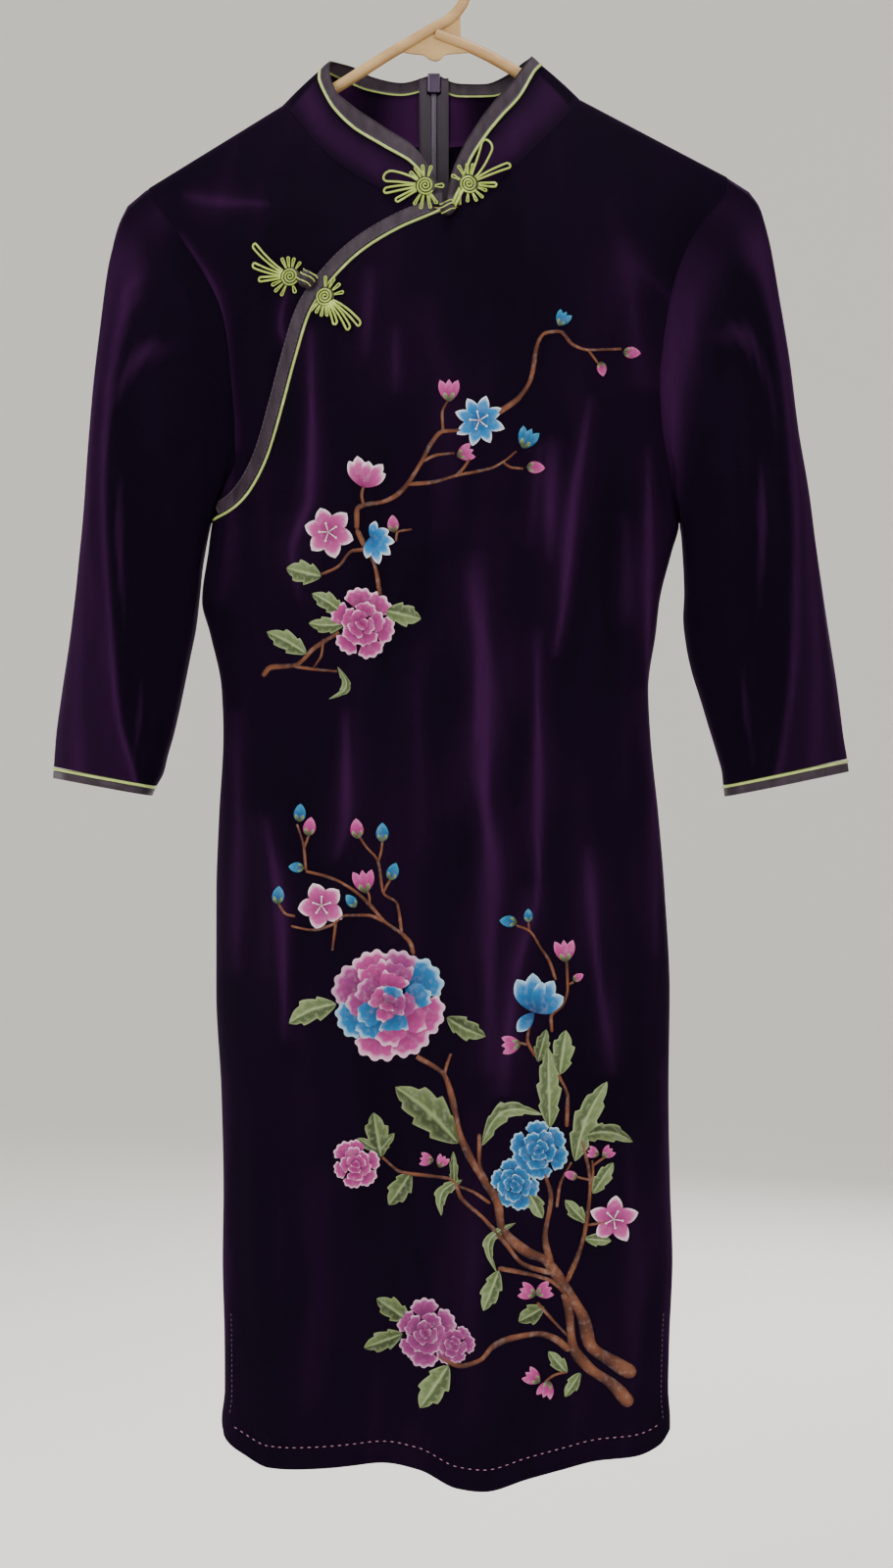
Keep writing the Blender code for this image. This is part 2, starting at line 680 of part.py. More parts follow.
SLEEVE_SHARES = (0.0,) + ARMHOLE_STEPS
SEAM_STRIP = 3.5
SLEEVE_ROOM = 1.2


def sleeve_table(side):
    return columns_of(SLEEVE_COLUMNS, SLEEVE_LEFT if side < 0 else SLEEVE_RIGHT)


def armhole_ring(side, reach):
    """The armhole loop, moved away from the body by its reach."""
    arm = armhole(side)
    front, back = [], []
    for f in SLEEVE_SHARES:
        x, drop = arm.at(f)
        over = drop - shoulder_drop(x)
        deep = edge_depth(drop, over) if 0 < f < 1 else 0.0
        away = np.array([side * (0.85 + 0.15 * math.sin(math.pi * f)), 0.53 * abs(1 - 2 * f)])
        x, drop = np.array([x, drop]) + away * reach
        deep += 0.25 * reach * math.sin(math.pi * f)
        front.append((x, -deep, -drop))
        back.append((x, deep, -drop))
    return front + back[-2:0:-1]


def sleeve_ring(side, row):
    """The sleeve's outer face at a row of its table, counted with fractions."""
    table = sleeve_table(side)
    keys = np.arange(len(table["depth"]), dtype=float)
    outer_x, outer_drop, inner_x, inner_drop, depth, crease = (
        smooth(keys, table[name], row) for name in SLEEVE_COLUMNS)
    arm = armhole(side)
    top, low = arm.at(0), arm.at(1)
    bow = (1 - ease(-1, 6, row)) ** 2
    front, back = [], []
    for f in SLEEVE_SHARES:
        turn = math.acos(1 - 2 * f)
        curve = arm.at(f) - (top + (low - top) * f)
        blend = ease(-1, 3, row)
        skew = f ** (math.log(crease) / math.log(0.5)) if 0 < f < 1 else f
        f_front = f + (skew - f) * blend
        for target, share, deep, sign in ((front, f_front, depth, -1), (back, f, depth * 0.8, 1)):
            x = outer_x + (inner_x - outer_x) * share + curve[0] * bow
            drop = outer_drop + (inner_drop - outer_drop) * share + curve[1] * bow
            limit = side * body_at("left" if side < 0 else "right", drop) + SLEEVE_ROOM
            x = side * max(side * x, limit)
            target.append((x, sign * deep * math.sin(turn) ** 0.9 if 0 < f < 1 else 0.0, -drop))
    return front + back[-2:0:-1]


def sleeve(name, side):
    rings = [armhole_ring(side, 0.6), armhole_ring(side, SEAM_STRIP)]
    last = len(SLEEVE_LEFT) - 2
    rings += [sleeve_ring(side, row) for row in range(last + 1)]
    return sheet(name, rings, VELVET, closed=True)


def cuff(side, word):
    last = len(SLEEVE_LEFT) - 2
    room = 0.15
    piping = sleeve_ring(side, last + room)
    tube("cuff_piping_" + word, piping, PIPING_RADIUS, PIPING, cyclic=True)
    rings = [sleeve_ring(side, last + room * 2), sleeve_ring(side, last + 1)]
    sheet("cuff_binding_" + word, rings, SATIN, wall=BAND_WALL, closed=True)


# Collar

COLLAR_STEPS = 24
SIDE_STATION = 5
COLLAR_LIFT = 0.9


def collar_curves(stations):
    """Seam, piping line and top edge of one collar half as three paths by station."""
    last = len(stations) - 1
    behind = neck_back(stations)
    ahead = neck_front(stations, (stations[-1][0], stations[-1][1] + 0.5))
    keys = np.arange(last + 1, dtype=float)

    def seam(t):
        if t <= SIDE_STATION:
            x, drop = behind.at(np.interp(t, keys[:SIDE_STATION + 1], behind.keys))
            y = panel_y(x, drop, back=True)
        else:
            x, drop = ahead.at(np.interp(t - SIDE_STATION, keys[:len(ahead.keys) - 1], ahead.keys[:-1]))
            y = panel_y(x, drop)
        return np.array([x, y if abs(t - SIDE_STATION) > 0.05 else 0.0, -drop])

    def reader(x, y, drop):
        table = np.array([(row[x], row[y], -row[drop]) for row in stations], dtype=float)
        return lambda t: np.array([smooth(keys, column, t) for column in table.T])

    return seam, reader(2, 3, 4), reader(5, 6, 7), last


def step_towards(start, end, distance, along=None):
    """Move from a point towards another, square to a direction if one is given."""
    gap = end - start
    if along is not None:
        gap = gap - along * np.dot(gap, along)
    return start + gap * (distance / np.linalg.norm(gap))


def collar_half(stations, word):
    seam, line, edge, last = collar_curves(stations)
    low, middle, high = [], [], []
    band_low, band_high, cord = [], [], []
    for t in np.linspace(0, last, COLLAR_STEPS + 1):
        foot, fold, top = seam(t), line(t), edge(t)
        foot = step_towards(foot, fold, COLLAR_LIFT)
        run = line(min(t + 0.1, last)) - line(max(t - 0.1, 0))
        run /= np.linalg.norm(run)
        rim = step_towards(fold, foot, PIPING_ROOM, run)
        low.append(foot)
        middle.append((foot + rim) / 2)
        high.append(rim)
        band_low.append(step_towards(fold, top, PIPING_ROOM, run))
        band_high.append(top)
        cord.append(fold)
    throat = panel_y(band_high[-1][0], BAND_END_DROP)
    band_low.append(np.array([band_low[-1][0], throat, -BAND_END_DROP]))
    band_high.append(np.array([band_high[-1][0], throat, -BAND_END_DROP]))
    cord.append(np.array([cord[-1][0], throat, -BAND_END_DROP]))
    sheet("collar_" + word, [high, middle, low], VELVET)
    sheet("collar_binding_" + word, [band_high, band_low], SATIN, wall=BAND_WALL)
    tube("collar_piping_" + word, cord, PIPING_RADIUS, PIPING)


# Placket band and piping

def placket_trim():
    steps = [placket_place(k) for k in range(PLACKET_STEPS + 1)]
    cord = [panel_point(PLACKET.beside(t, PIPING_ROOM)) for t in steps[:-1]]
    tube("placket_piping", cord, PIPING_RADIUS, PIPING)
    rows = []
    for share in (1.0, 0.5, 0.0):
        row = []
        for t in steps[1:-2]:
            x, drop = PLACKET.beside(t, 2 * PIPING_ROOM + PLACKET_BAND * share)
            x = max(x, body_at("left", drop) + PIPING_ROOM)
            row.append(lifted((x, drop), PLACKET_LIFT + BAND_WALL))
        rows.append(row)
    sheet("placket_binding", rows, SATIN, wall=BAND_WALL)


# Frog closures

def frog_level(x, drop):
    """Outer face that a frog lies on: the panel, or the collar standing above its seam."""
    stations = COLLAR_LEFT if x < 0 else COLLAR_RIGHT
    seam = [(abs(row[0]), row[1]) for row in stations[6:]]
    seam.sort()
    xs = np.array([p[0] for p in seam])
    drops = np.array([p[1] for p in seam])
    lowest = float(np.interp(abs(x), xs, drops)) if abs(x) < 60 else 0.0
    return panel_y(x, max(drop, lowest))


def petal_outline(angle, reach, width, inset=0.0, base=0.75):
    """One petal's edge, out along one side, round the tip and back."""
    radius = width / 2 - inset
    tip = reach - width / 2
    root = FROG_DISC - 0.4 + inset * 2.5
    side = [(root, -max(base - inset, 0.25)), ((root + tip) / 2, -(radius * 0.62 + base * 0.2))]
    turn = [(tip + radius * math.sin(a), -radius * math.cos(a)) for a in np.linspace(0.0, math.pi, 6)]
    back = [(p[0], -p[1]) for p in side[::-1]]
    c, s = math.cos(math.radians(angle)), math.sin(math.radians(angle))
    return [(p[0] * c - p[1] * s, p[0] * s + p[1] * c) for p in side + turn + back]


def frog_half(name, x, drop, raised, petals):
    outline, holes = [], []
    for angle, reach, width, is_open in petals:
        outline += petal_outline(angle, reach, width)
        if is_open:
            holes.append(petal_outline(angle, reach - FROG_CORD, width, FROG_CORD)[::-1])
    frog = flat_outline(name, [outline] + holes, FROG_HEIGHT, LIME)
    for vert in frog.data.vertices:
        px, pz = x + vert.co.x / MM, drop - vert.co.z / MM
        py = frog_level(px, pz) - raised - PIECE_GAP - FROG_HEIGHT / 2 + vert.co.y / MM
        vert.co = Vector((px, py, -pz)) * MM
    return frog


def knot(name, x, drop, raised, radius):
    """The ball of a knot button, a little flattened against the cloth."""
    mesh = bpy.data.meshes.new(name)
    ball = bmesh.new()
    bmesh.ops.create_uvsphere(ball, u_segments=14, v_segments=8, radius=radius * MM)
    depth = 0.8
    y = panel_y(x, drop) - raised - 2 * PIECE_GAP - radius * depth
    for vert in ball.verts:
        vert.co.y *= depth
        vert.co += Vector((x, y, -drop)) * MM
    ball.to_mesh(mesh)
    ball.free()
    mesh.shade_smooth()
    return new_object(name, mesh, VELVET)


# Zip

def zip_face(x, drop):
    """Outer face of the collar or the back where the zip runs."""
    seam = panel_y(back_centre(160), 160, back=True)
    if drop < 160:
        return COLLAR_INSIDE + (seam - COLLAR_INSIDE) * (drop - 107.5) / (160 - 107.5)
    return panel_y(x, drop, back=True)


def zip_drops():
    """Levels down the zip, the same ones as the rows of the back."""
    seam = COLLAR_LEFT[0][1]
    upper = [seam + (UNDERARM_DROP - seam) * v for v in panel_rows() if v == 0 or v > 0.05]
    step = (HEM["back"][8] - UNDERARM_DROP) / LOWER_ROWS
    return [124, 140] + upper + [UNDERARM_DROP + step * i for i in range(1, ZIP_ROWS_BELOW + 1)]


def zip_tape(name, side):
    rows = []
    for drop in [111, 117, 122.6] + zip_drops():
        inner = 4.9 if drop < 123 else 2.7
        row = []
        for reach in (inner, 10.5):
            x = back_centre(drop) + side * reach
            row.append((x, zip_face(x, drop) - CLOTH - ZIP_STANDOFF, -drop))
        rows.append(row)
    return sheet(name, rows, TAPE, wall=1.0)


def zip_coil():
    """The closed teeth between the tapes, as one narrow bar."""
    rows = []
    for drop in [122.6] + zip_drops():
        centre = back_centre(drop)
        y = zip_face(centre, drop) - CLOTH - ZIP_STANDOFF
        rows.append([(centre - 2.2, y, -drop), (centre + 2.2, y, -drop)])
    return sheet("zip_coil", rows, TAPE, wall=2.0)


def box(name, size, centre):
    mesh = bpy.data.meshes.new(name)
    block = bmesh.new()
    bmesh.ops.create_cube(block, size=1.0)
    for vert in block.verts:
        vert.co = Vector(vert.co[i] * size[i] + centre[i] for i in range(3)) * MM
    block.to_mesh(mesh)
    block.free()
    return mesh


def zip_slider():
    """Slider inside the collar, with a crown that stands out through the opening."""
    wide, deep, tall = SLIDER_SIZE
    face = COLLAR_BACK
    inside = face - CLOTH - ZIP_STANDOFF
    middle = (BACK_CENTRE_TOP, inside - deep / 2, -(SLIDER_TOP + tall / 2))
    slider = new_object("zip_slider", box("zip_slider", (wide, deep, tall), middle), ENAMEL)
    soften = slider.modifiers.new("soft_edges", "BEVEL")
    soften.width = 1.2 * MM
    soften.segments = 2
    reach = face + CROWN_REACH - inside
    arch = [(-1.0, -3.6), (reach - 1.0, -3.6), (reach, -2.6), (reach, 2.6), (reach - 1.0, 3.6), (-1.0, 3.6)]
    start = face + 0.3 - inside
    hole = [(start, -2.4), (start, 2.4), (reach - 0.8, 2.4), (reach - 0.8, -2.4)]
    crown = flat_outline("zip_crown", [arch, hole], 1.0, ENAMEL)
    turn = crown.data
    for vert in turn.vertices:
        out, thick, up = vert.co.x / MM, vert.co.y / MM, vert.co.z / MM
        vert.co = Vector((BACK_CENTRE_TOP - thick, inside + out, up - PULL_AXIS_DROP)) * MM
    crown.hide_render = True
    crown.display_type = "WIRE"
    part_collection.objects.unlink(crown)
    cutter_collection.objects.link(crown)
    join = slider.modifiers.new("crown", "BOOLEAN")
    join.operation = "UNION"
    join.object = crown
    return slider


PULL_AXIS_DROP = 114.5
PULL_AXIS_OUT = 2.3
CROWN_REACH = PULL_AXIS_OUT + 1.7


def zip_pull(axis_empty):
    """Tab with a slot that the crown passes through, hanging from its cross bar."""
    top, low = 0.5, -PULL_LENGTH
    outline = [(-1.9, top), (1.9, top), (2.1, -4.6), (3.0, -9), (3.2, low + 3), (2.2, low + 0.8), (0, low)]
    outline += [(-2.2, low + 0.8), (-3.2, low + 3), (-3.0, -9), (-2.1, -4.6)]
    slot = [(-0.95, -0.5), (-0.95, -4.3), (0.95, -4.3), (0.95, -0.5)]
    eye = [(0.9 * math.cos(a), low + 4.2 + 0.9 * math.sin(a)) for a in np.linspace(0, 2 * math.pi, 9)[:-1]]
    pull = flat_outline("zip_pull", [outline, slot, eye], 0.9, ENAMEL)
    pull.parent = axis_empty
    return pull


# Hanger

def hanger_path():
    hook = []
    for degrees in np.linspace(-112, 112, 19):
        turn = math.radians(degrees)
        hook.append((HOOK_RADIUS * math.sin(turn), HOOK_RADIUS - TUBE_RADIUS - HOOK_RADIUS * math.cos(turn)))
    left = Path([hook[-1]] + list(ARM_LEFT_POINTS))
    path = hook + [tuple(left.at(t)) for t in np.linspace(0, 1, 19)[1:]]
    path += turn_round(ARM_LEFT_POINTS[-1], BAR_POINTS[0], -1)
    bar = Path(BAR_POINTS)
    path += [tuple(bar.at(t)) for t in np.linspace(0, 1, 7)]
    path += turn_round(BAR_POINTS[-1], ARM_RIGHT_POINTS[0], 1)
    right = Path(ARM_RIGHT_POINTS)
    path += [tuple(right.at(t)) for t in np.linspace(0, 1, 12)]
    return [(x, 0.0, -drop) for x, drop in path]


def turn_round(start, end, side):
    """The bend between an arm and the lower bar."""
    middle = (np.array(start) + np.array(end)) / 2
    half = (np.array(start) - np.array(end)) / 2
    out = np.array([side, 0.25]) * BAR_TURN
    return [tuple(middle + half * math.cos(a) + out * math.sin(a)) for a in np.linspace(0, math.pi, 7)[1:-1]]


def hanger():
    tube("hanger", hanger_path(), TUBE_RADIUS, PLASTIC, fineness=2)
    for name, outline in (("hanger_web", WEB_OUTLINE), ("hanger_gusset", GUSSET_OUTLINE)):
        flat_outline(name, [[(x, -drop) for x, drop in outline]], WEB_WALL, PLASTIC)


def build():
    front_main()
    front_shoulder()
    back_half("back_left", -1)
    back_half("back_right", 1)
    for side, word in ((-1, "left"), (1, "right")):
        sleeve("sleeve_" + word, side)
        cuff(side, word)
        collar_half(COLLAR_LEFT if side < 0 else COLLAR_RIGHT, word)
        zip_tape("zip_tape_" + word, side)
    placket_trim()
    for name, place in FROG_PLACES.items():
        frog_half(name, *place)
    for name, place in KNOT_PLACES.items():
        knot(name, *place)
    zip_coil()
    zip_slider()
    axis = bpy.data.objects.new("zip_pull_axis", None)
    axis.location = Vector((BACK_CENTRE_TOP, COLLAR_BACK + PULL_AXIS_OUT, -PULL_AXIS_DROP)) * MM
    part_collection.objects.link(axis)
    zip_pull(axis)
    hanger()
    bpy.context.view_layer.update()


for leftover in list(bpy.data.objects):
    bpy.data.objects.remove(leftover)
part_collection = bpy.data.collections.new("cheongsam_dress_on_hanger")
cutter_collection = bpy.data.collections.new("cutters")
bpy.context.scene.collection.children.link(part_collection)
bpy.context.scene.collection.children.link(cutter_collection)
build()
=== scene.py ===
import math
import bmesh
import bpy
import numpy as np
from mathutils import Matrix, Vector


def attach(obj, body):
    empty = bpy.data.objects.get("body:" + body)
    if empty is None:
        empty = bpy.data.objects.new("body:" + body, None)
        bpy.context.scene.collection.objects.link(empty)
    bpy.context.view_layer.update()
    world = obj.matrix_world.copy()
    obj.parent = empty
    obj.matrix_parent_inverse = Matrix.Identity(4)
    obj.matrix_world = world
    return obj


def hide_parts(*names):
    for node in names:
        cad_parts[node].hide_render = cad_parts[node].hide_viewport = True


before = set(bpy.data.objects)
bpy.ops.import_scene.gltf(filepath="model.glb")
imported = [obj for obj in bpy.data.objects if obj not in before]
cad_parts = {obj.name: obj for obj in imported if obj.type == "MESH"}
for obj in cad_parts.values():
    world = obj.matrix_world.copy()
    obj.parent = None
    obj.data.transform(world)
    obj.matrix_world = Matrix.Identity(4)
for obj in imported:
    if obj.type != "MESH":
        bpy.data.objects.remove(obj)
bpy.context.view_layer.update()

# the looks of a velvet cheongsam on a tubular hanger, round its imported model
mm = 0.001  # sizes are in millimetres, and a drop is the distance below the hook's seat
made = {}  # each piece's slot and the node that it takes the place of

# camera, light and floor
view = {"distance": 1.533, "height": -0.6137, "lens": 50.0, "frameHeight": 36.0}
studio = {
    "world": (0.84, 0.81, 0.75), "worldStrength": 1.0,
    "lamps": (  # name, place, aims at, size, power
        ("keyLamp", (-1.3, -2.3, 0.5), (0, 0, -0.55), 1.3, 56),
        ("fillLamp", (1.7, -1.9, -0.3), (0, 0, -0.6), 1.5, 24),
        ("topLamp", (0.2, -0.4, 1.5), (0, 0, -0.4), 1.2, 26),
        ("backLamp", (0.9, 2.4, 0.3), (0, 0, -0.6), 1.6, 50),
        ("sideLamp", (-2.4, 0.6, -0.5), (0, 0, -0.7), 1.2, 26),
    ),
}


def placeCamera():
    eye = bpy.data.cameras.new("camera")
    eye.lens, eye.sensor_fit, eye.sensor_height = view["lens"], "VERTICAL", view["frameHeight"]
    holder = bpy.data.objects.new("camera", eye)
    holder.location = (0, -view["distance"], view["height"])
    holder.rotation_euler = (math.pi / 2, 0, 0)
    bpy.context.scene.collection.objects.link(holder)
    bpy.context.scene.camera = holder


def placeLamps():
    for name, place, aim, size, power in studio["lamps"]:
        lamp = bpy.data.lights.new(name, "AREA")
        lamp.shape, lamp.size, lamp.energy = "DISK", size, power
        holder = bpy.data.objects.new(name, lamp)
        holder.location = place
        holder.rotation_euler = (Vector(aim) - Vector(place)).to_track_quat("-Z", "Y").to_euler()
        bpy.context.scene.collection.objects.link(holder)
    world = bpy.data.worlds.new("studio")
    world.use_nodes = True
    background = world.node_tree.nodes["Background"]
    background.inputs["Color"].default_value = (*studio["world"], 1)
    background.inputs["Strength"].default_value = studio["worldStrength"]
    bpy.context.scene.world = world


placeCamera()
placeLamps()
print("camera and lamps placed")


# shader nodes written as expressions
class Wire:
    def __init__(self, maker, socket):
        self.maker, self.socket = maker, socket

    def maths(self, operation, first, second):
        return self.maker.node("ShaderNodeMath", {"operation": operation}, {0: first, 1: second})

    def __add__(self, other):
        return self.maths("ADD", self, other)

    def __rsub__(self, other):
        return self.maths("SUBTRACT", other, self)

    def __mul__(self, other):
        return self.maths("MULTIPLY", self, other)

    __radd__ = __add__
    __rmul__ = __mul__


class Maker:
    def __init__(self, name):
        self.material = bpy.data.materials.new(name)
        self.material.use_nodes = True
        self.tree = self.material.node_tree
        self.shader = self.tree.nodes["Principled BSDF"]

    def node(self, kind, settings=None, inputs=None, output=0):
        added = self.tree.nodes.new(kind)
        for key, value in (settings or {}).items():
            setattr(added, key, value)
        for key, value in (inputs or {}).items():
            self.feed(added.inputs[key], value)
        return Wire(self, added.outputs[output])

    def feed(self, socket, value):
        if isinstance(value, Wire):
            self.tree.links.new(value.socket, socket)
        else:
            socket.default_value = value

    def place(self, stretch=(1, 1, 1), turn=(0, 0, 0)):
        spot = self.node("ShaderNodeTexCoord", output="Object")
        return self.node("ShaderNodeMapping", inputs={"Vector": spot, "Scale": stretch, "Rotation": turn})

    def noise(self, scale, detail=3.0, stretch=(1, 1, 1)):
        inputs = {"Vector": self.place(stretch), "Scale": scale, "Detail": detail, "Roughness": 0.55}
        return self.node("ShaderNodeTexNoise", inputs=inputs)

    def wave(self, scale, turn=(0, 0, 0), distortion=0.0, direction="X"):
        inputs = {"Vector": self.place(turn=turn), "Scale": scale, "Distortion": distortion}
        return self.node("ShaderNodeTexWave", {"bands_direction": direction}, inputs, "Fac")

    def attribute(self, name, output="Fac"):
        return self.node("ShaderNodeAttribute", {"attribute_name": name}, output=output)

    def mix(self, factor, first, second):
        first = first if isinstance(first, Wire) else (*first, 1)
        second = second if isinstance(second, Wire) else (*second, 1)
        return self.node("ShaderNodeMix", {"data_type": "RGBA"}, {0: factor, 6: first, 7: second}, 2)

    def within(self, value, low, high):
        inputs = {"Value": value, "From Min": low, "From Max": high}
        return self.node("ShaderNodeMapRange", {"clamp": True}, inputs)

    def bump(self, height, strength, distance):
        inputs = {"Height": height, "Strength": strength, "Distance": distance}
        return self.node("ShaderNodeBump", inputs=inputs)

    def finish(self, **values):
        for key, value in values.items():
            self.feed(self.shader.inputs[key.replace("_", " ")], value)
        return self.material


# materials
velvet = {
    "deep": (0.0024, 0.0008, 0.0048), "lit": (0.05, 0.0085, 0.062), "pit": (0.0012, 0.0004, 0.002),
    "tint": (0.62, 0.16, 0.75), "sheen": 0.07, "sheenRough": 0.36,
}
satin = {"dark": (0.0105, 0.005, 0.0105), "light": (0.034, 0.02, 0.032)}
lime = {"shade": (0.13, 0.18, 0.02), "body": (0.44, 0.55, 0.08), "lit": (0.6, 0.71, 0.2)}
limeShade = {"shade": (0.008, 0.011, 0.003), "body": (0.03, 0.042, 0.006), "lit": (0.07, 0.1, 0.015)}
paleLime = {"shade": (0.2, 0.26, 0.05), "body": (0.42, 0.52, 0.14), "lit": (0.58, 0.66, 0.27)}
plastic = {"dark": (0.3, 0.17, 0.06), "body": (0.45, 0.285, 0.115), "light": (0.58, 0.42, 0.2)}
tape = {"gap": (0.016, 0.009, 0.018), "yarn": (0.058, 0.036, 0.066)}
teeth = {"dark": (0.03, 0.02, 0.042), "light": (0.08, 0.06, 0.1)}
thread = {"gap": (0.02, 0.008, 0.02), "shine": (1, 0.96, 0.95), "width": 0.55}
enamel = {"body": (0.03, 0.012, 0.05), "worn": (0.13, 0.1, 0.16)}
floor = {"drop": 1450, "reach": 4.5, "curve": 3.0, "sides": 72, "colour": (0.9, 0.895, 0.87)}


def velvetLook():
    m = Maker("velvetPile")
    # painted highlights: a per-point attribute carries lighter streaks along the folds, creases and sleeve
    # edges
    paintedSheen = m.attribute("paintedSheen")
    broad = m.noise(9.0, 3.0, (1, 1, 0.55))
    streaks = m.noise(42.0, 4.0, (1.4, 1, 0.22))
    fine = m.noise(1600.0, 2.0)
    brushed = m.within(broad, 0.45, 0.75) * 0.07 + m.within(streaks, 0.5, 0.78) * 0.08
    # painted highlights mixed with random brushed pile tone lighten the velvet toward its lit colour
    pileAndPaintedSheen = m.within(paintedSheen * (0.5 + 0.8 * streaks) + brushed * (0.4 + paintedSheen), 0.0, 1.0)
    tone = m.mix(pileAndPaintedSheen, velvet["deep"], velvet["lit"])
    tone = m.mix(m.within(fine, 0.3, 0.8) * 0.3, tone, velvet["pit"])
    return m.finish(
        Base_Color=tone, Roughness=0.88 - 0.16 * pileAndPaintedSheen, Sheen_Weight=velvet["sheen"],
        Sheen_Roughness=velvet["sheenRough"], Sheen_Tint=(*velvet["tint"], 1), Specular_IOR_Level=0.03,
        Normal=m.bump(fine + streaks * 0.8, 0.32, 0.0005))


def satinLook():
    m = Maker("satinBinding")
    twill = m.wave(520.0, (0.6, 0.8, 0.4), 0.6)
    slub = m.noise(160.0, 3.0, (1, 1, 0.3))
    tone = m.mix(m.within(slub, 0.3, 0.72), satin["dark"], satin["light"])
    return m.finish(
        Base_Color=tone, Roughness=0.4 + 0.16 * twill, Specular_IOR_Level=0.2, Sheen_Weight=0.03,
        Sheen_Tint=(0.7, 0.6, 0.75, 1), Normal=m.bump(twill + slub * 0.6, 0.22, 0.00025))


def cordLook(name, colours, pitch):
    m = Maker(name)
    twist = m.wave(pitch, (0.7, 0.5, 0.8), 1.2)
    worn = m.noise(120.0, 3.0)
    # the twist's grooves take the shade colour: painted shade
    tone = m.mix(m.within(twist, 0.1, 0.9), colours["shade"], colours["body"])
    # random patches of the lit colour: painted sheen
    tone = m.mix(m.within(worn, 0.52, 0.75) * 0.6, tone, colours["lit"])
    return m.finish(
        Base_Color=tone, Roughness=0.45 + 0.15 * worn, Sheen_Weight=0.05, Sheen_Roughness=0.4,
        Normal=m.bump(twist, 0.35, 0.0004))


def tapeLook():
    m = Maker("zipTape")
    across = m.wave(420.0, direction="Z")
    down = m.wave(420.0, direction="X")
    tone = m.mix(across * down, tape["gap"], tape["yarn"])
    return m.finish(Base_Color=tone, Roughness=0.72, Normal=m.bump(across + down, 0.4, 0.0003))


def teethLook():
    m = Maker("zipTeeth")
    cloud = m.noise(300.0, 2.0)
    tone = m.mix(cloud, teeth["dark"], teeth["light"])
    return m.finish(Base_Color=tone, Roughness=0.3 + 0.2 * cloud, Specular_IOR_Level=0.6)


def enamelLook():
    m = Maker("zipEnamel")
    chips = m.within(m.noise(420.0, 4.0), 0.6, 0.7)
    cloud = m.noise(90.0, 2.0)
    tone = m.mix(chips * 0.7 + cloud * 0.15, enamel["body"], enamel["worn"])
    return m.finish(
        Base_Color=tone, Roughness=0.2 + 0.25 * cloud, Metallic=0.35 + 0.4 * chips,
        Coat_Weight=0.6 - 0.5 * chips, Coat_Roughness=0.12, Normal=m.bump(chips, 0.2, 0.0002))


def plasticLook():
    m = Maker("hangerPlastic")
    flow = m.noise(26.0, 4.0, (1, 1, 2.2))
    grain = m.noise(900.0, 2.0)
    scuffs = m.within(m.noise(70.0, 5.0, (1, 6, 1)), 0.6, 0.75)
    tone = m.mix(m.within(flow, 0.3, 0.7), plastic["dark"], plastic["body"])
    tone = m.mix(scuffs * 0.5, tone, plastic["light"])
    return m.finish(
        Base_Color=tone, Roughness=0.36 + 0.2 * scuffs + 0.1 * grain, Subsurface_Weight=0.06,
        Normal=m.bump(grain + scuffs * 0.5, 0.12, 0.0003))


def threadLook():
    m = Maker("silkThread")
    colour = m.attribute("silk", "Color")
    turn = m.attribute("strand") * (2 * math.pi / thread["width"])
    ridge = m.node("ShaderNodeMath", {"operation": "SINE"}, {0: turn}) * 0.5 + 0.5
    patchy = m.noise(260.0, 2.0)
    tone = m.mix((1 - ridge) * 0.34, colour, thread["gap"])
    tone = m.mix(m.within(patchy, 0.5, 0.8) * 0.07, tone, thread["shine"])
    return m.finish(
        Base_Color=tone, Roughness=0.42 + 0.2 * patchy, Specular_IOR_Level=0.14,
        Normal=m.bump(ridge, 0.5, 0.0003))


def stitchLook(name, light, dark):
    m = Maker(name)
    patchy = m.noise(700.0, 2.0)
    return m.finish(Base_Color=m.mix(patchy, dark, light), Roughness=0.5 + 0.2 * patchy)


def floorLook():
    m = Maker("paleFloor")
    lighter = tuple(min(c * 1.05, 1) for c in floor["colour"])
    return m.finish(Base_Color=m.mix(m.noise(0.6), floor["colour"], lighter), Roughness=0.9)


looks = {
    "velvet": velvetLook(), "satin": satinLook(),
    "frog": cordLook("frogCord", lime, 330.0), "piping": cordLook("pipingCord", paleLime, 300.0),
    "cordShade": cordLook("cordShade", limeShade, 330.0),
    "tape": tapeLook(), "teeth": teethLook(), "enamel": enamelLook(),
    "plastic": plasticLook(), "thread": threadLook(),
    "hemThread": stitchLook("hemThread", (0.5, 0.24, 0.34), (0.28, 0.1, 0.18)),
    "seamThread": stitchLook("seamThread", (0.12, 0.07, 0.13), (0.05, 0.03, 0.06)),
    "floor": floorLook(),
}
slots = {
    "velvet": "velvet", "hemThread": "velvet", "satin": "satin", "seamThread": "satin", "piping": "piping",
    "frog": "frog_cord", "cordShade": "frog_cord", "thread": "frog_cord", "tape": "zip_tape",
    "teeth": "zip_tape", "plastic": "hanger_plastic",
}
print("materials ready:", len(looks))


def makeFloor():  # it curves up far away, so that every view has the same pale ground
    reach, curve, count = floor["reach"], floor["curve"], floor["sides"]
    profile = [(0.02, 0.0), (2.0, 0.0), (reach, 0.0)]
    profile += [(reach + curve * math.sin(a), curve - curve * math.cos(a))
                for a in np.linspace(0.15, math.pi / 2, 10)]
    profile += [(reach + curve, curve * 2), (reach + curve, curve * 3)]
    turns = np.linspace(0, 2 * math.pi, count + 1)[:-1]
    verts = [(r * math.cos(a), r * math.sin(a), z - floor["drop"] * mm) for r, z in profile for a in turns]
    faces = []
    for low in range(0, (len(profile) - 1) * count, count):
        for i, j in zip(range(count), [*range(1, count), 0]):
            faces.append((low + i, low + j, low + count + j, low + count + i))
    faces.append(tuple(range(count - 1, -1, -1)))
    mesh = bpy.data.meshes.new("paleFloor")
    mesh.from_pydata(verts, [], faces)
    mesh.flip_normals()
    mesh.shade_smooth()
    mesh.materials.append(looks["floor"])
    ground = bpy.data.objects.new("paleFloor", mesh)
    bpy.context.scene.collection.objects.link(ground)


makeFloor()


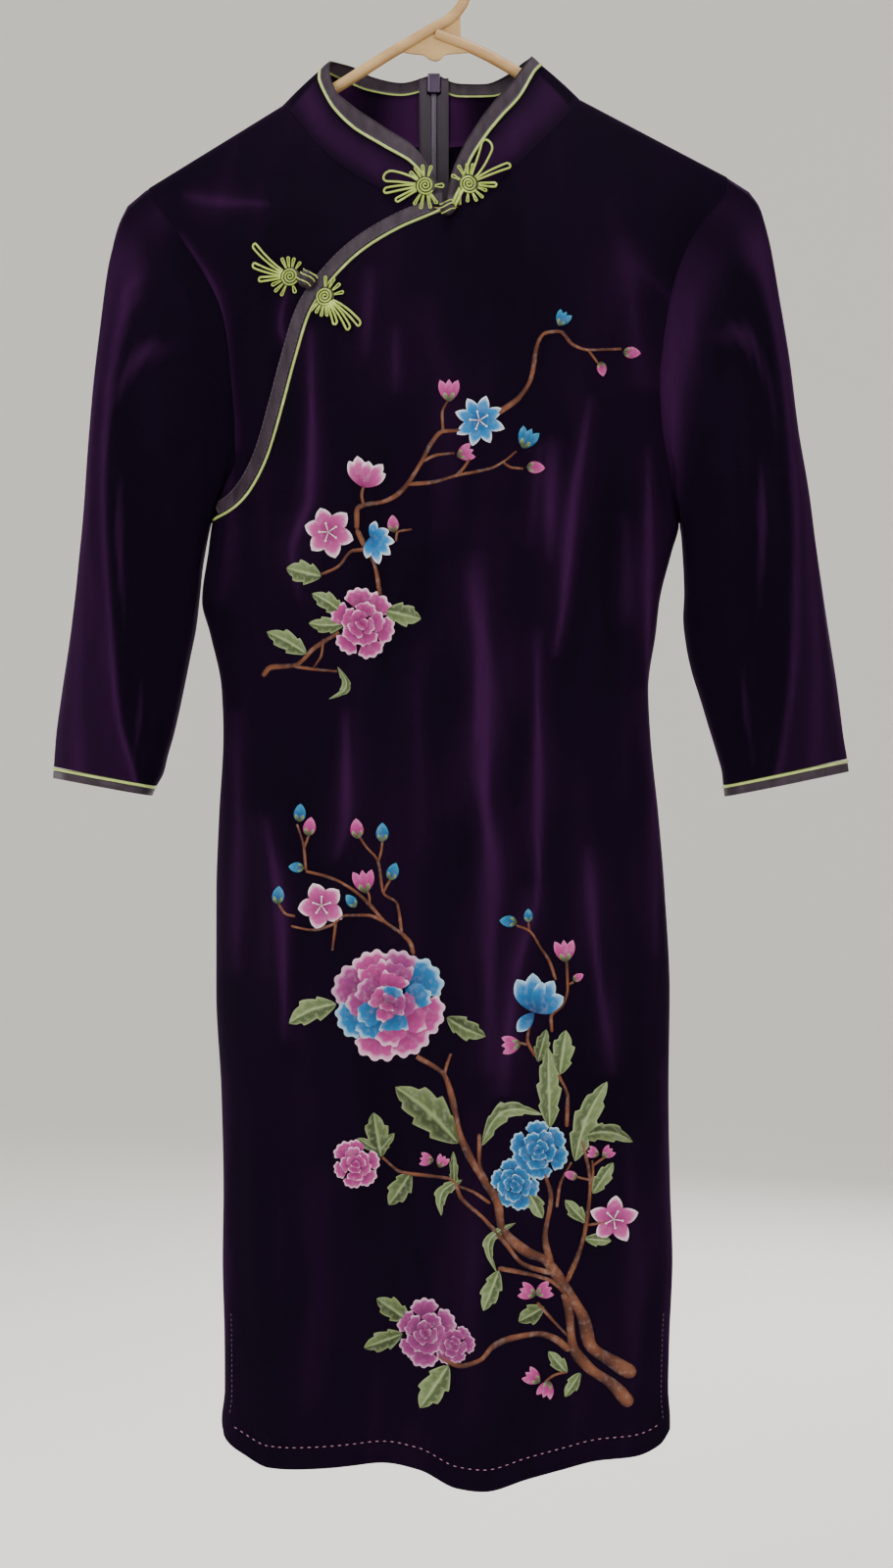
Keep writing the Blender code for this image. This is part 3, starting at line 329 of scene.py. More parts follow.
# the cut of the dress: the same outlines and depths as the solids have
cut = {
    "clothWall": 1.1, "bandWall": 1.0, "seamHalfGap": 0.2, "pipingRoom": 1.25, "pipingRadius": 0.95,
    "placketBand": 9.0, "bandLift": 1.5, "armWrap": 6.2, "underarm": 430.0, "roundingFrom": 350.0,
    "roundingTo": 590.0, "backCentreTop": -9.0, "backCentreLow": -3.0, "zipEdge": 0.495, "patchDrop": 470.0,
    "seamDrop": 160.0,
}
bodyTable = {
    "drop": (100, 194, 228, 254, 283, 307, 335, 364, 386, 408, 430, 450, 485, 507, 547, 578, 640, 690,
             760, 830, 900, 948, 1000, 1040, 1060, 1110),
    "left": (-209, -209, -188.5, -171.5, -157, -152, -149.4, -147.4, -147.5, -157, -164.8, -167.5, -172,
             -166.5, -158.2, -157, -160.2, -161.9, -162, -158.4, -156.9, -157.5, -156.3, -156, -158, -156),
    "right": (197, 197, 174, 162, 154.5, 151, 148.6, 150.3, 154.5, 158.5, 163.6, 158.5, 149.8, 147.3,
              141.9, 143.3, 149.5, 153.5, 157, 156.2, 157.4, 159, 157, 156, 157.2, 155),
    "front": (46, 46, 47, 48, 50, 51, 53, 56, 57, 57, 56, 54, 49, 45, 40, 38, 39, 42, 43, 40, 36, 34, 31,
              29, 28, 28),
    "back": (20, 21, 23, 25, 26, 26, 27, 27, 27, 27, 26, 25, 23, 21, 18, 18, 22, 27, 30, 28, 25, 23, 21,
             20, 20, 20),
    "edge": (0, 0, 5, 8, 10, 11, 11, 10, 8, 5, 0, 0, 0, 0, 0, 0, 0, 0, 0, 0, 0, 0, 0.3, 1.6, 2.6, 4),
}
shoulderLine = {"x": (-250, -209, -115.5, -60, -20, 20, 60, 94.3, 197, 250),
                "drop": (220, 194.5, 136.8, 104, 89, 92, 113, 132.8, 186.8, 214)}
hemLine = {
    "share": (-1, -0.985, -0.9, -0.78, -0.6, -0.42, -0.27, -0.12, 0.05, 0.17, 0.35, 0.52, 0.68, 0.84, 0.95,
              1),
    "front": (1061, 1071, 1080, 1087, 1086, 1085, 1083, 1086, 1097, 1099, 1093, 1088, 1083, 1081, 1075, 1066),
    "back": (1061, 1070, 1078, 1082, 1084, 1085, 1086, 1086, 1086, 1086, 1085, 1084, 1082, 1080, 1075, 1066),
}
# soft folds: top x, top drop, low x, low drop, half width, height, runs out at the hem
frontFolds = (
    (-88, 270, -94, 430, 26, 4.5, 0), (-101, 415, -98, 520, 24, 3.5, 0), (101, 300, 72, 560, 28, 5.5, 0),
    (128, 360, 130, 560, 22, 3.5, 0), (18, 430, 30, 860, 30, 4.5, 0), (64, 510, 46, 780, 24, -3.5, 0),
    (94, 640, 116, 880, 30, 4, 0), (-66, 530, -77, 720, 28, 4, 0), (-122, 600, -110, 840, 26, 3.5, 0),
    (-40, 330, -30, 520, 30, 2.5, 0), (-104, 840, -106, 1100, 44, 6, 1), (20, 800, 20, 1100, 58, 9, 1),
    (-50, 880, -48, 1100, 34, -3.5, 1), (96, 880, 98, 1100, 40, -3.5, 1),
)
backFolds = (
    (-90, 260, -96, 520, 32, 4, 0), (84, 280, 92, 540, 32, 4, 0), (-60, 560, -84, 860, 36, 4.5, 0),
    (66, 600, 80, 900, 36, 4, 0), (118, 480, 112, 760, 26, 3, 0), (-70, 860, -66, 1100, 46, 6, 1),
    (10, 880, 12, 1100, 44, 4, 1), (84, 840, 86, 1100, 46, 6, 1),
)
# narrow creases that only the visible cloth has
frontCreases = (
    (-93, 292, -96, 420, 9, 1.7, 0), (-97, 405, -108, 458, 8, 1.5, 0), (-108, 446, -101, 500, 7, 1.3, 0),
    (103, 330, 88, 430, 9, 1.8, 0), (88, 410, 76, 540, 8, 1.6, 0), (73, 365, 72, 465, 8, 1.2, 0),
    (141, 372, 141, 525, 7, 1.6, 0), (19, 440, 28, 560, 8, 1.6, 0), (27, 545, 31, 700, 9, 1.8, 0),
    (31, 670, 30, 860, 9, 1.6, 0), (64.5, 530, 64.5, 690, 2.6, -1.1, 0), (64.5, 680, 49, 752, 2.6, -0.9, 0),
    (-66, 530, -68, 680, 2.6, -1.0, 0), (99, 680, 118, 830, 9, 1.7, 0), (-71, 556, -77, 676, 9, 1.6, 0),
    (-128, 630, -114, 800, 9, 1.7, 0), (-57, 246, -51, 318, 6, 0.9, 0), (-35, 288, -35, 342, 6, 0.9, 0),
    (-140, 470, -128, 560, 8, 1.2, 0), (128, 520, 120, 610, 8, 1.2, 0), (-20, 860, -26, 1010, 12, 1.1, 0),
    (60, 820, 66, 980, 12, 1.2, 0), (-84, 880, -80, 1040, 12, 1.2, 0), (126, 840, 130, 1010, 9, 1.2, 0),
    (-135, 820, -132, 1000, 9, 1.2, 0), (120, 230, 132, 330, 9, 1.1, 0), (52, 240, 66, 330, 10, 0.8, 0),
)
backCreases = (
    (-88, 300, -94, 470, 9, 1.5, 0), (86, 300, 92, 480, 9, 1.5, 0), (-60, 540, -60, 690, 2.6, -1.0, 0),
    (58, 540, 58, 690, 2.6, -1.0, 0), (-110, 560, -120, 720, 9, 1.5, 0), (104, 600, 112, 800, 9, 1.5, 0),
    (-36, 620, -40, 840, 10, 1.3, 0), (34, 640, 38, 900, 10, 1.3, 0), (-100, 820, -104, 1020, 11, 1.4, 0),
    (60, 860, 62, 1030, 11, 1.2, 0), (130, 460, 124, 580, 8, 1.2, 0), (-134, 460, -128, 580, 8, 1.2, 0),
)


def stack(*parts):
    return np.stack(parts, axis=-1)


def readSmooth(keys, values, at):  # a curve through the table that adds no wiggles
    keys, values = np.asarray(keys, float), np.asarray(values, float)
    at = np.clip(np.asarray(at, float), keys[0], keys[-1])
    i = np.clip(np.searchsorted(keys, at, side="right") - 1, 0, len(keys) - 2)
    steps = np.diff(keys)
    slopes = np.diff(values) / steps
    lean = np.concatenate(([slopes[0]], np.zeros(len(slopes) - 1), [slopes[-1]]))
    both = slopes[:-1] * slopes[1:]
    total = np.where(both > 0, slopes[:-1] + slopes[1:], 1.0)
    lean[1:-1] = np.where(both > 0, 2 * both / total, 0.0)
    width = steps[i]
    t = (at - keys[i]) / width
    near = (1 + 2 * t) * (1 - t) ** 2 * values[i] + t * (1 - t) ** 2 * width * lean[i]
    return near + t * t * (3 - 2 * t) * values[i + 1] + t * t * (t - 1) * width * lean[i + 1]


def bodyAt(name, drop):
    return readSmooth(bodyTable["drop"], bodyTable[name], drop)


def shoulderDrop(x):
    return np.interp(x, shoulderLine["x"], shoulderLine["drop"])


def ease(low, high, at):
    t = np.clip((np.asarray(at, float) - low) / (high - low), 0, 1)
    return t * t * (3 - 2 * t)


class Path:
    def __init__(self, points):
        self.points = np.array(points, dtype=float)
        lengths = np.linalg.norm(np.diff(self.points, axis=0), axis=1)
        self.length = float(lengths.sum())
        self.keys = np.concatenate(([0.0], np.cumsum(lengths))) / self.length

    def at(self, t):
        return np.stack([readSmooth(self.keys, column, t) for column in self.points.T], axis=-1)

    def beside(self, t, distance):
        ahead = self.ahead(t)
        return self.at(t) + stack(-ahead[:, 1], ahead[:, 0]) * distance

    def ahead(self, t):
        ahead = self.at(np.minimum(t + 0.01, 1)) - self.at(np.maximum(t - 0.01, 0))
        return ahead / np.linalg.norm(ahead, axis=-1, keepdims=True)


def sideAt(side, drop):
    return bodyAt("left" if side < 0 else "right", drop)


class SideEdge:
    def __init__(self, side, top, low):
        self.side, self.top, self.low = side, top, low

    def at(self, t):
        drop = self.top + (self.low - self.top) * np.asarray(t, float)
        return stack(sideAt(self.side, drop), drop)


placket = Path((
    (-4, 224.6), (-16.4, 230.2), (-28, 235.2), (-47.8, 246.2), (-62, 256.5), (-75.3, 269.5), (-85, 281),
    (-92.7, 294), (-101.5, 321), (-110.9, 353.6), (-121.2, 384.7), (-135.4, 411.1), (-149, 423),
    (-164.4, 429.6),
))
shoulderTips = {-1: (-209.0, 194.5), 1: (197.0, 186.8)}


def foldHeight(folds, x, drop):
    total = np.zeros(np.broadcast(x, drop).shape)
    for topX, topDrop, lowX, lowDrop, halfWidth, height, toHem in folds:
        t = (drop - topDrop) / (lowDrop - topDrop)
        inside = (t > 0) & ((t < 1) | bool(toHem))
        t = np.clip(t, 0, 1)
        away = np.minimum(np.abs(x - (topX + (lowX - topX) * t)) / halfWidth, 1)
        run = t * t * (3 - 2 * t) if toHem else np.sin(math.pi * t) ** 0.8
        total = total + np.where(inside, height * run * 0.5 * (1 + np.cos(math.pi * away)), 0)
    return total


def edgeDepth(drop, over):
    reach = np.clip(over / cut["armWrap"], 0, 1)
    wrap = np.sqrt(np.maximum(0, 1 - (1 - reach) ** 2)) * cut["armWrap"]
    return cut["seamHalfGap"] + wrap * (1 - ease(330, cut["underarm"], drop)) + bodyAt("edge", drop)


def clothY(x, drop, back=False, fine=True):
    x, drop = np.asarray(x, float), np.asarray(drop, float)
    left, right = bodyAt("left", drop), bodyAt("right", drop)
    share = np.minimum(np.abs(x - (left + right) / 2) / ((right - left) / 2), 1)
    below = ease(cut["roundingFrom"], cut["roundingTo"], drop)
    shape = (1 - share ** 2.2) * (1 - below) + np.sqrt(np.maximum(1 - share ** 2.4, 0)) * below
    over = drop - shoulderDrop(x)
    fall = 1 - np.exp(-np.maximum(over, 0) / (40.0 if back else 62.0))
    depth = edgeDepth(drop, over) + bodyAt("back" if back else "front", drop) * fall * shape
    calm = np.minimum(1, (1 - share) * 8)
    if not back:
        away = np.abs(x - np.interp(drop, placket.points[:, 1], placket.points[:, 0]))
        calm = calm * np.where(drop < cut["underarm"], ease(4, 26, away), 1)
    depth = depth + calm * foldHeight(backFolds if back else frontFolds, x, drop)
    if fine:
        calm = calm * ease(6, 40, over)
        sway = np.sin(x / 13 + drop / 47 + 0.8) * np.sin(drop / 38 - x / 71) * 0.35
        sway = sway + np.sin(x / 7.3 - drop / 29) * np.sin(drop / 17 + x / 33 + 2) * 0.16
        depth = depth + calm * (foldHeight(backCreases if back else frontCreases, x, drop) + sway)
    return depth if back else -depth


def backCentre(drop):
    top, low = cut["backCentreTop"], cut["backCentreLow"]
    return top + (low - top) * ease(cut["seamDrop"], 700, drop)


# the photograph: its middle column, the drop of its top row, pixels a millimetre, and the eye's place
photo = {"middle": 455.5, "topDrop": 62.0, "scale": 1.45, "eyeDrop": 614.0, "eyeAway": 1533.0, "depth": 45.0}


def fromPhoto(px, py):  # where a point seen in the photograph lies on the front
    x = (np.asarray(px, float) - photo["middle"]) / photo["scale"]
    above = photo["eyeDrop"] - photo["topDrop"] - np.asarray(py, float) / photo["scale"]
    depth = photo["depth"]
    for _ in range(3):
        shrink = 1 - depth / photo["eyeAway"]
        depth = -clothY(x * shrink, photo["eyeDrop"] - above * shrink, fine=False)
    shrink = 1 - depth / photo["eyeAway"]
    return x * shrink, photo["eyeDrop"] - above * shrink


def addObject(name, mesh, look, node=None):
    mesh.materials.clear()
    mesh.materials.append(looks[look])
    piece = bpy.data.objects.new(name, mesh)
    bpy.context.scene.collection.objects.link(piece)
    made[name] = (slots[look], node)
    return piece


def gridNormals(grid, closed):
    across = np.gradient(grid, axis=1)
    if closed:
        across = (np.roll(grid, -1, axis=1) - np.roll(grid, 1, axis=1)) / 2
    normal = np.cross(across, np.gradient(grid, axis=0))
    size = np.linalg.norm(normal, axis=-1, keepdims=True)
    return normal / np.where(size > 1e-9, size, 1)


# a closed thin wall from a grid of outer points; side keeps it on its half of the middle plane
def shell(name, grid, look, node, wall, closed=False, side=0, paintedSheen=None, flip=False, inside=0.3):
    grid = np.asarray(grid, float)
    normal = gridNormals(grid, closed) * (-1 if flip else 1)
    inner = grid - normal * wall
    if side:
        inner[..., 1] = side * np.maximum(side * inner[..., 1], cut["seamHalfGap"] / 2)
    rows, cols = grid.shape[:2]
    verts = np.concatenate((grid.reshape(-1, 3), inner.reshape(-1, 3))) * mm
    index = np.arange(rows * cols).reshape(rows, cols)
    spans = cols if closed else cols - 1
    i = np.arange(spans)
    j = (i + 1) % cols
    a, b, c, d = index[:-1][:, i], index[1:][:, i], index[1:][:, j], index[:-1][:, j]
    outer = stack(a, d, c, b).reshape(-1, 4)
    if flip:
        outer = outer[:, ::-1]
    shift = rows * cols
    faces = [outer, outer[:, ::-1] + shift]

    def rim(line):
        quads = stack(line[:-1], line[1:], line[1:] + shift, line[:-1] + shift)
        faces.append(quads if flip else quads[:, ::-1])

    if closed:
        index = np.concatenate((index, index[:, :1]), axis=1)
    rim(index[0][::-1])
    rim(index[-1])
    if not closed:
        rim(index[:, 0])
        rim(index[:, -1][::-1])
    mesh = bpy.data.meshes.new(name)
    mesh.from_pydata(verts.tolist(), [], np.concatenate(faces).tolist())
    # painted highlights: the outer face takes the given strengths, the inner face a weaker painted sheen
    if paintedSheen is not None:
        layer = mesh.attributes.new("paintedSheen", "FLOAT", "POINT")
        within = np.broadcast_to(inside, paintedSheen.shape) if np.ndim(inside) else paintedSheen * inside
        layer.data.foreach_set("value", np.concatenate((paintedSheen.ravel(), within.ravel())).astype(np.float32))
    mesh.shade_smooth()
    check = bmesh.new()
    check.from_mesh(mesh)
    if check.calc_volume(signed=True) < 0:
        bmesh.ops.reverse_faces(check, faces=check.faces[:])
        check.to_mesh(mesh)
    check.free()
    addObject(name, mesh, look, node)


def refine(values, step):  # keeps each value and adds evenly spaced ones between
    result = [values[0]]
    for low, high in zip(values, values[1:]):
        count = max(1, math.ceil(abs(high - low) / step))
        result += [low + (high - low) * (k + 1) / count for k in range(count)]
    return np.array(result)


def treeWith(name, sizes):  # a Geometry Nodes tree with named inputs
    tree = bpy.data.node_groups.new(name, "GeometryNodeTree")
    tree.interface.new_socket("Geometry", in_out="INPUT", socket_type="NodeSocketGeometry")
    for label, kind in sizes:
        tree.interface.new_socket(label, in_out="INPUT", socket_type=kind)
    tree.interface.new_socket("Geometry", in_out="OUTPUT", socket_type="NodeSocketGeometry")
    start, end = tree.nodes.new("NodeGroupInput"), tree.nodes.new("NodeGroupOutput")

    def add(kind, settings=None, inputs=None):
        node = tree.nodes.new(kind)
        for key, value in (settings or {}).items():
            setattr(node, key, value)
        for key, value in (inputs or {}).items():
            if isinstance(value, bpy.types.NodeSocket):
                tree.links.new(value, node.inputs[key])
            else:
                node.inputs[key].default_value = value
        return node

    def close(geometry):
        real = add("GeometryNodeRealizeInstances", inputs={"Geometry": geometry})
        smooth = add("GeometryNodeSetShadeSmooth", inputs={"Geometry": real.outputs[0]})
        look = add("GeometryNodeSetMaterial", inputs={
            "Geometry": smooth.outputs[0], "Material": start.outputs["Look"]})
        tree.links.new(look.outputs[0], end.inputs[0])

    return tree, start, add, close


def sweepTree():  # a round cord along each curve
    tree, start, add, close = treeWith("cordSweep", (
        ("Radius", "NodeSocketFloat"), ("Sides", "NodeSocketInt"), ("Look", "NodeSocketMaterial")))
    ring = add("GeometryNodeCurvePrimitiveCircle", inputs={
        "Resolution": start.outputs["Sides"], "Radius": start.outputs["Radius"]})
    swept = add("GeometryNodeCurveToMesh", inputs={
        "Curve": start.outputs["Geometry"], "Profile Curve": ring.outputs["Curve"], "Fill Caps": True})
    close(swept.outputs[0])
    return tree


def rowTree():  # small rounded bars set in a row along each curve
    tree, start, add, close = treeWith("barRow", (
        ("Spacing", "NodeSocketFloat"), ("Size", "NodeSocketVector"), ("Look", "NodeSocketMaterial")))
    points = add("GeometryNodeCurveToPoints", {"mode": "LENGTH"}, {
        "Curve": start.outputs["Geometry"], "Length": start.outputs["Spacing"]})
    bar = add("GeometryNodeMeshUVSphere", inputs={"Segments": 6, "Rings": 4, "Radius": 1.0})
    row = add("GeometryNodeInstanceOnPoints", inputs={
        "Points": points.outputs["Points"], "Instance": bar.outputs[0],
        "Rotation": points.outputs["Rotation"], "Scale": start.outputs["Size"]})
    close(row.outputs[0])
    return tree


sweep, barRow = sweepTree(), rowTree()


# runs a tree over a set of lines and keeps the plain mesh
def grow(name, tree, lines, values, look, node=None, cyclic=False):
    curve = bpy.data.curves.new(name + "Lines", "CURVE")
    curve.dimensions = "3D"
    for line in lines:
        spline = curve.splines.new("POLY")
        spline.points.add(len(line) - 1)
        flat = np.concatenate((np.asarray(line, float) * mm, np.ones((len(line), 1))), axis=1)
        spline.points.foreach_set("co", flat.ravel())
        spline.use_cyclic_u = cyclic
    holder = bpy.data.objects.new(name + "Lines", curve)
    bpy.context.scene.collection.objects.link(holder)
    modifier = holder.modifiers.new("grow", "NODES")
    modifier.node_group = tree
    for item in tree.interface.items_tree:
        if item.in_out == "INPUT" and item.name in values:
            modifier[item.identifier] = values[item.name]
    bpy.context.view_layer.update()
    seen = holder.evaluated_get(bpy.context.evaluated_depsgraph_get())
    mesh = bpy.data.meshes.new_from_object(seen)
    bpy.data.objects.remove(holder)
    tidy = bmesh.new()
    tidy.from_mesh(mesh)
    bmesh.ops.remove_doubles(tidy, verts=tidy.verts[:], dist=0.002 * mm)
    bmesh.ops.recalc_face_normals(tidy, faces=tidy.faces[:])
    tidy.to_mesh(mesh)
    tidy.free()
    mesh.name = name
    addObject(name, mesh, look, node)


def cord(name, lines, radius, look, node=None, cyclic=False, sides=12):
    values = {"Radius": radius * mm, "Sides": sides, "Look": looks[look]}
    grow(name, sweep, lines, values, look, node, cyclic)


def stitchRow(name, lines, spacing, size, look):
    size = tuple(s * mm for s in size)
    grow(name, barRow, lines, {"Spacing": spacing * mm, "Size": size, "Look": looks[look]}, look)


# painted highlights: lighter streaks along the velvet's folds, where they catch the light
# points in the photograph, half width in mm, strength
paintedSheenLines = (
    (((316, 330), (318, 430), (316, 507), (305, 538), (298, 564), (307, 617)), 3.2, 0.8),
    (((604, 402), (597, 437), (584, 516), (575, 617), (566, 670)), 3.6, 0.95),
    (((562, 446), (560, 577)), 4, 0.6), (((661, 454), (662, 560), (661, 665), (664, 720)), 3, 0.95),
    (((483, 560), (496, 692), (493, 740), (493, 794), (504, 902), (499, 974), (499, 1100)), 7, 0.75),
    (((480, 580), (488, 680), (486, 760)), 2.6, 0.5), (((549, 640), (549, 902), (526, 992)), 3, 0.8),
    (((541, 900), (526, 1000), (510, 1120)), 6, 0.5), (((599, 860), (608, 974), (626, 1100)), 3.6, 0.7),
    (((353, 722), (353, 830), (342, 880)), 3.4, 0.7), (((270, 830), (288, 956), (290, 1064)), 4, 0.7),
    (((377, 270), (373, 366)), 3, 0.45), (((404, 331), (404, 402)), 3, 0.4),
    (((294, 290), (286, 330), (296, 360)), 3.4, 0.7), (((184, 199), (230, 206), (276, 208)), 4, 0.6),
    (((655, 700), (668, 840), (668, 980)), 5, 0.4), (((240, 720), (243, 860), (240, 1000)), 5, 0.4),
    (((330, 1180), (326, 1330), (318, 1470)), 12, 0.12),
    (((470, 1180), (478, 1330), (486, 1480)), 12, 0.14), (((640, 1150), (648, 1300), (644, 1440)), 7, 0.2),
    (((640, 240), (648, 340), (655, 400)), 6, 0.3), (((640, 260), (700, 330), (668, 400)), 7, 0.22),
    (((183, 235), (220, 300), (234, 380), (241, 466)), 2.4, 0.8),
    (((205, 400), (236, 520), (226, 620)), 5, 0.3), (((640, 640), (640, 560), (636, 520)), 4, 0.3),
    (((430, 640), (426, 760), (430, 880)), 7, 0.14), (((425, 300), (460, 420), (450, 560)), 14, 0.12),
    (((540, 560), (546, 500), (552, 450)), 4, 0.3), (((676, 1080), (682, 1250), (680, 1430)), 3, 0.4),
    (((230, 1080), (229, 1250), (231, 1430)), 3, 0.3),
)


def paintedSheenOver(x, drop):
    total = np.zeros(np.broadcast(x, drop).shape)
    for points, halfWidth, strength in paintedSheenLines:
        lineX, lineDrop = fromPhoto(*np.transpose(points))
        if lineDrop[0] > lineDrop[-1]:
            lineX, lineDrop = lineX[::-1], lineDrop[::-1]
        if lineDrop[-1] - lineDrop[0] > 12:
            away = np.abs(x - readSmooth(lineDrop, lineX, drop))
            run = np.clip((drop - lineDrop[0]) / (lineDrop[-1] - lineDrop[0]), 0, 1)
        else:
            away = np.abs(drop - readSmooth(lineX, lineDrop, x))
            run = np.clip((x - lineX[0]) / (lineX[-1] - lineX[0]), 0, 1)
        away = away / (halfWidth * (1 + 0.35 * np.sin(drop / 19 + x / 11 + strength * 9)))
        core = np.exp(-(away / 0.8) ** 2) * 0.75 + np.exp(-(away / 2.6) ** 2) * 0.25
        total = total + strength * core * np.sin(math.pi * run) ** 0.5
    # a faint broad painted sheen over the whole cloth
    cloud = np.sin(x / 23) * np.sin(drop / 61) * 0.5 + 0.5
    return np.clip(0.6 * total + 0.05 * cloud, 0, 1)


# velvet panels of the body
def halfShares(middleSteps):
    return [1 - s for s in (0.0, 0.0015, 0.012, 0.05, *np.linspace(0.13, 1.0, middleSteps))]


panelLevels = (0.0, 0.001, 0.0065, 0.022, 0.08, 0.211, 0.343, 0.474, 0.606, 0.737, 0.85, 0.93, 0.975, 1.0)
levelStep = 0.016
placketKeys = np.concatenate((np.linspace(0.0, 0.88, 13), (0.94, 0.978, 0.994, 1.0)))
neckPlaces = (1.0, 0.862, 0.772, 0.6, 0.42, 0.25, 0.07, 0.0)
# shares of the width that the neck takes, and how finely the panels are cut
panels = {"neck": 0.677, "backNeck": 0.54375, "step": 0.0088, "backStep": 0.02, "lowRows": 150}


def panelGrid(x, drop, back=False):
    return stack(x, clothY(x, drop, back), -drop)


def patch(top, bottom, left, right, u, v):
    u, v = np.asarray(u)[None, :, None], np.asarray(v)[:, None, None]
    a, b, c, d = top[None], bottom[None], left[:, None], right[:, None]
    upper, lower = (1 - u) * a[:, :1] + u * a[:, -1:], (1 - u) * b[:, :1] + u * b[:, -1:]
    return (1 - v) * (a - upper) + v * (b - lower) + (1 - u) * c + u * d


def acrossAt(share, drop, side=0):
    if side:
        centre = backCentre(drop) + side * cut["zipEdge"]
        return centre + np.abs(share) * (sideAt(side, drop) - centre)
    left, right = bodyAt("left", drop), bodyAt("right", drop)
    return (left + right) / 2 + share * (right - left) / 2


def hemAt(share, back):
    return readSmooth(hemLine["share"], hemLine["back" if back else "front"], share)


def lowerPart(shares, start, back, side=0):
    hem = hemAt(shares, back)
    t = (np.arange(panels["lowRows"]) + 1)[:, None] / panels["lowRows"]
    drop = start + (hem[None, :] - start) * t
    return stack(acrossAt(shares[None, :], drop, side), drop)


def neckFront(stations, centre):
    return Path([row[:2] for row in stations[collar["shoulder"]:]] + [tuple(centre)])


def neckBack(stations):
    return Path([row[:2] for row in stations[:collar["shoulder"] + 1]])


# collar stations from the zip to the throat: seam x and drop, piping line x, y, drop, edge x, y, drop
collarLeft = (
    (-9.9, 160, -10.4, 22.6, 117, -10.7, 22, 107.5), (-36, 157.5, -33, 21.8, 122, -32.5, 21, 113.5),
    (-64, 151.5, -55, 19.3, 119.5, -52, 18, 110.5), (-89, 144, -75, 13, 113, -68, 12, 104.5),
    (-106, 139, -85, 6.5, 110.5, -77.5, 6.5, 103.6), (-115.5, 136.8, -89, 0, 111, -82.3, 0, 104.8),
    (-110.3, 142.2, -89.4, -5, 118, -82.4, -4, 111), (-91.4, 169.2, -81.5, -17, 138.5, -78, -13.5, 128.5),
    (-71.2, 188.8, -66, -28, 158.5, -66, -24.5, 143), (-45.3, 206.6, -43, -38, 175.5, -44, -35.5, 161),
    (-23.8, 217, -24, -44, 188.5, -21.5, -42.7, 178), (-17.8, 219, -15.3, -46, 199.5, -9.2, -46, 196.5),
    (-14.4, 220.2, -11.6, -47, 211, -2.2, -47, 210),
)
collarRight = (
    (-8.1, 160, -7.5, 22.6, 116.5, -7.2, 22, 106.8), (14, 158, 9.5, 21.8, 123, 8, 21.2, 113.8),
    (42, 152.5, 32, 19.3, 123.5, 27.5, 18.4, 115), (68, 145.5, 50.5, 14.5, 117.5, 44, 12.8, 109.8),
    (85, 138.6, 61.5, 7.5, 110.5, 54.5, 6.6, 103.5), (94.3, 132.8, 66.6, 0, 107.5, 60, 0, 101.4),
    (88.5, 141.5, 62, -6.5, 113.5, 56.3, -5, 106.8), (71.2, 163, 50.6, -17.5, 135.4, 45.5, -15, 124),
    (55.8, 180.5, 38, -28, 152, 31.5, -27.5, 143), (41.4, 195.5, 26.5, -36.5, 168.5, 19, -36.5, 163),
    (24, 211.5, 15.5, -43.5, 188, 7.8, -43, 184.5), (15.6, 217.5, 10.6, -46.3, 203, 2.2, -46.3, 201),
    (12, 219.3, 9.2, -47, 212, 0.3, -47, 212),
)
collar = {
    "steps": 132, "rows": 8, "shoulder": 5, "bow": 0.7, "lift": 0.02, "rimRoom": 0.7, "bandRoom": 0.8,
    "bandBow": 0.45, "endDrop": 219.0,
}


def makeFrontMain():
    leftShares = halfShares(13)
    rightShares = halfShares(10)[-2::-1]
    coarse = [(1 - s) / 2 for s in leftShares] + [(1 + s) / 2 for s in rightShares]
    u = refine(coarse, panels["step"])
    shares = u * 2 - 1
    neck = neckFront(collarRight, placket.points[0])
    seam = Path([collarRight[collar["shoulder"]][:2], shoulderTips[1]])
    onPlacket = placket.beside(np.interp(u, coarse[:17], placketKeys[::-1]), 0.5)
    fromThroat = np.clip(shares / panels["neck"], 0, 1)
    onNeck = neck.at(np.interp(fromThroat, np.linspace(0, 1, 8), neckPlaces))
    onSeam = seam.at(np.clip((shares - panels["neck"]) / (1 - panels["neck"]), 0, 1))
    top = np.where((shares < panels["neck"] + 1e-6)[:, None], onNeck, onSeam)
    top = np.where((u < 0.5 - 1e-6)[:, None], onPlacket, top)
    patchDrop = cut["patchDrop"]
    ends = acrossAt(-1, patchDrop), acrossAt(1, patchDrop)
    bottom = stack(ends[0] + (ends[1] - ends[0]) * u, np.full(len(u), patchDrop))
    tip = shoulderTips[1][1]
    reach = (cut["underarm"] - tip) / (patchDrop - tip)
    v = refine([level * reach for level in panelLevels] + [1.0], levelStep * reach)
    left, right = SideEdge(-1, placket.points[-1][1], patchDrop), SideEdge(1, tip, patchDrop)
    upper = patch(top, bottom, left.at(v), right.at(v), u, v)
    places = np.concatenate((upper, lowerPart(shares, patchDrop, False)))
    x, drop = places[..., 0], places[..., 1]
    # painted highlights along the front's folds and creases
    shell("velvetFrontMain", panelGrid(x, drop), "velvet", "front_main", cut["clothWall"], side=-1,
          paintedSheen=paintedSheenOver(x, drop), flip=True)


def makeFrontShoulder():
    keys = refine(list(placketKeys), 0.012)
    low = placket.beside(keys, 2.0)
    low[:, 0] = np.maximum(low[:, 0], bodyAt("left", low[:, 1]))
    u = 1 - keys[::-1]
    bottom = low[::-1]
    arm = SideEdge(-1, shoulderTips[-1][1], bottom[0][1])
    neck = neckFront(collarLeft, low[0])
    seam = Path([shoulderTips[-1], collarLeft[collar["shoulder"]][:2]])
    v = refine(list(panelLevels), levelStep)
    places = patch(seam.at(u), bottom, arm.at(v), neck.at(v), u, v)
    x, drop = places[..., 0], places[..., 1]
    # painted highlights along the shoulder's folds and creases
    shell("velvetFrontShoulder", panelGrid(x, drop), "velvet", "front_shoulder", cut["clothWall"], side=-1,
          paintedSheen=paintedSheenOver(x, drop), flip=True)


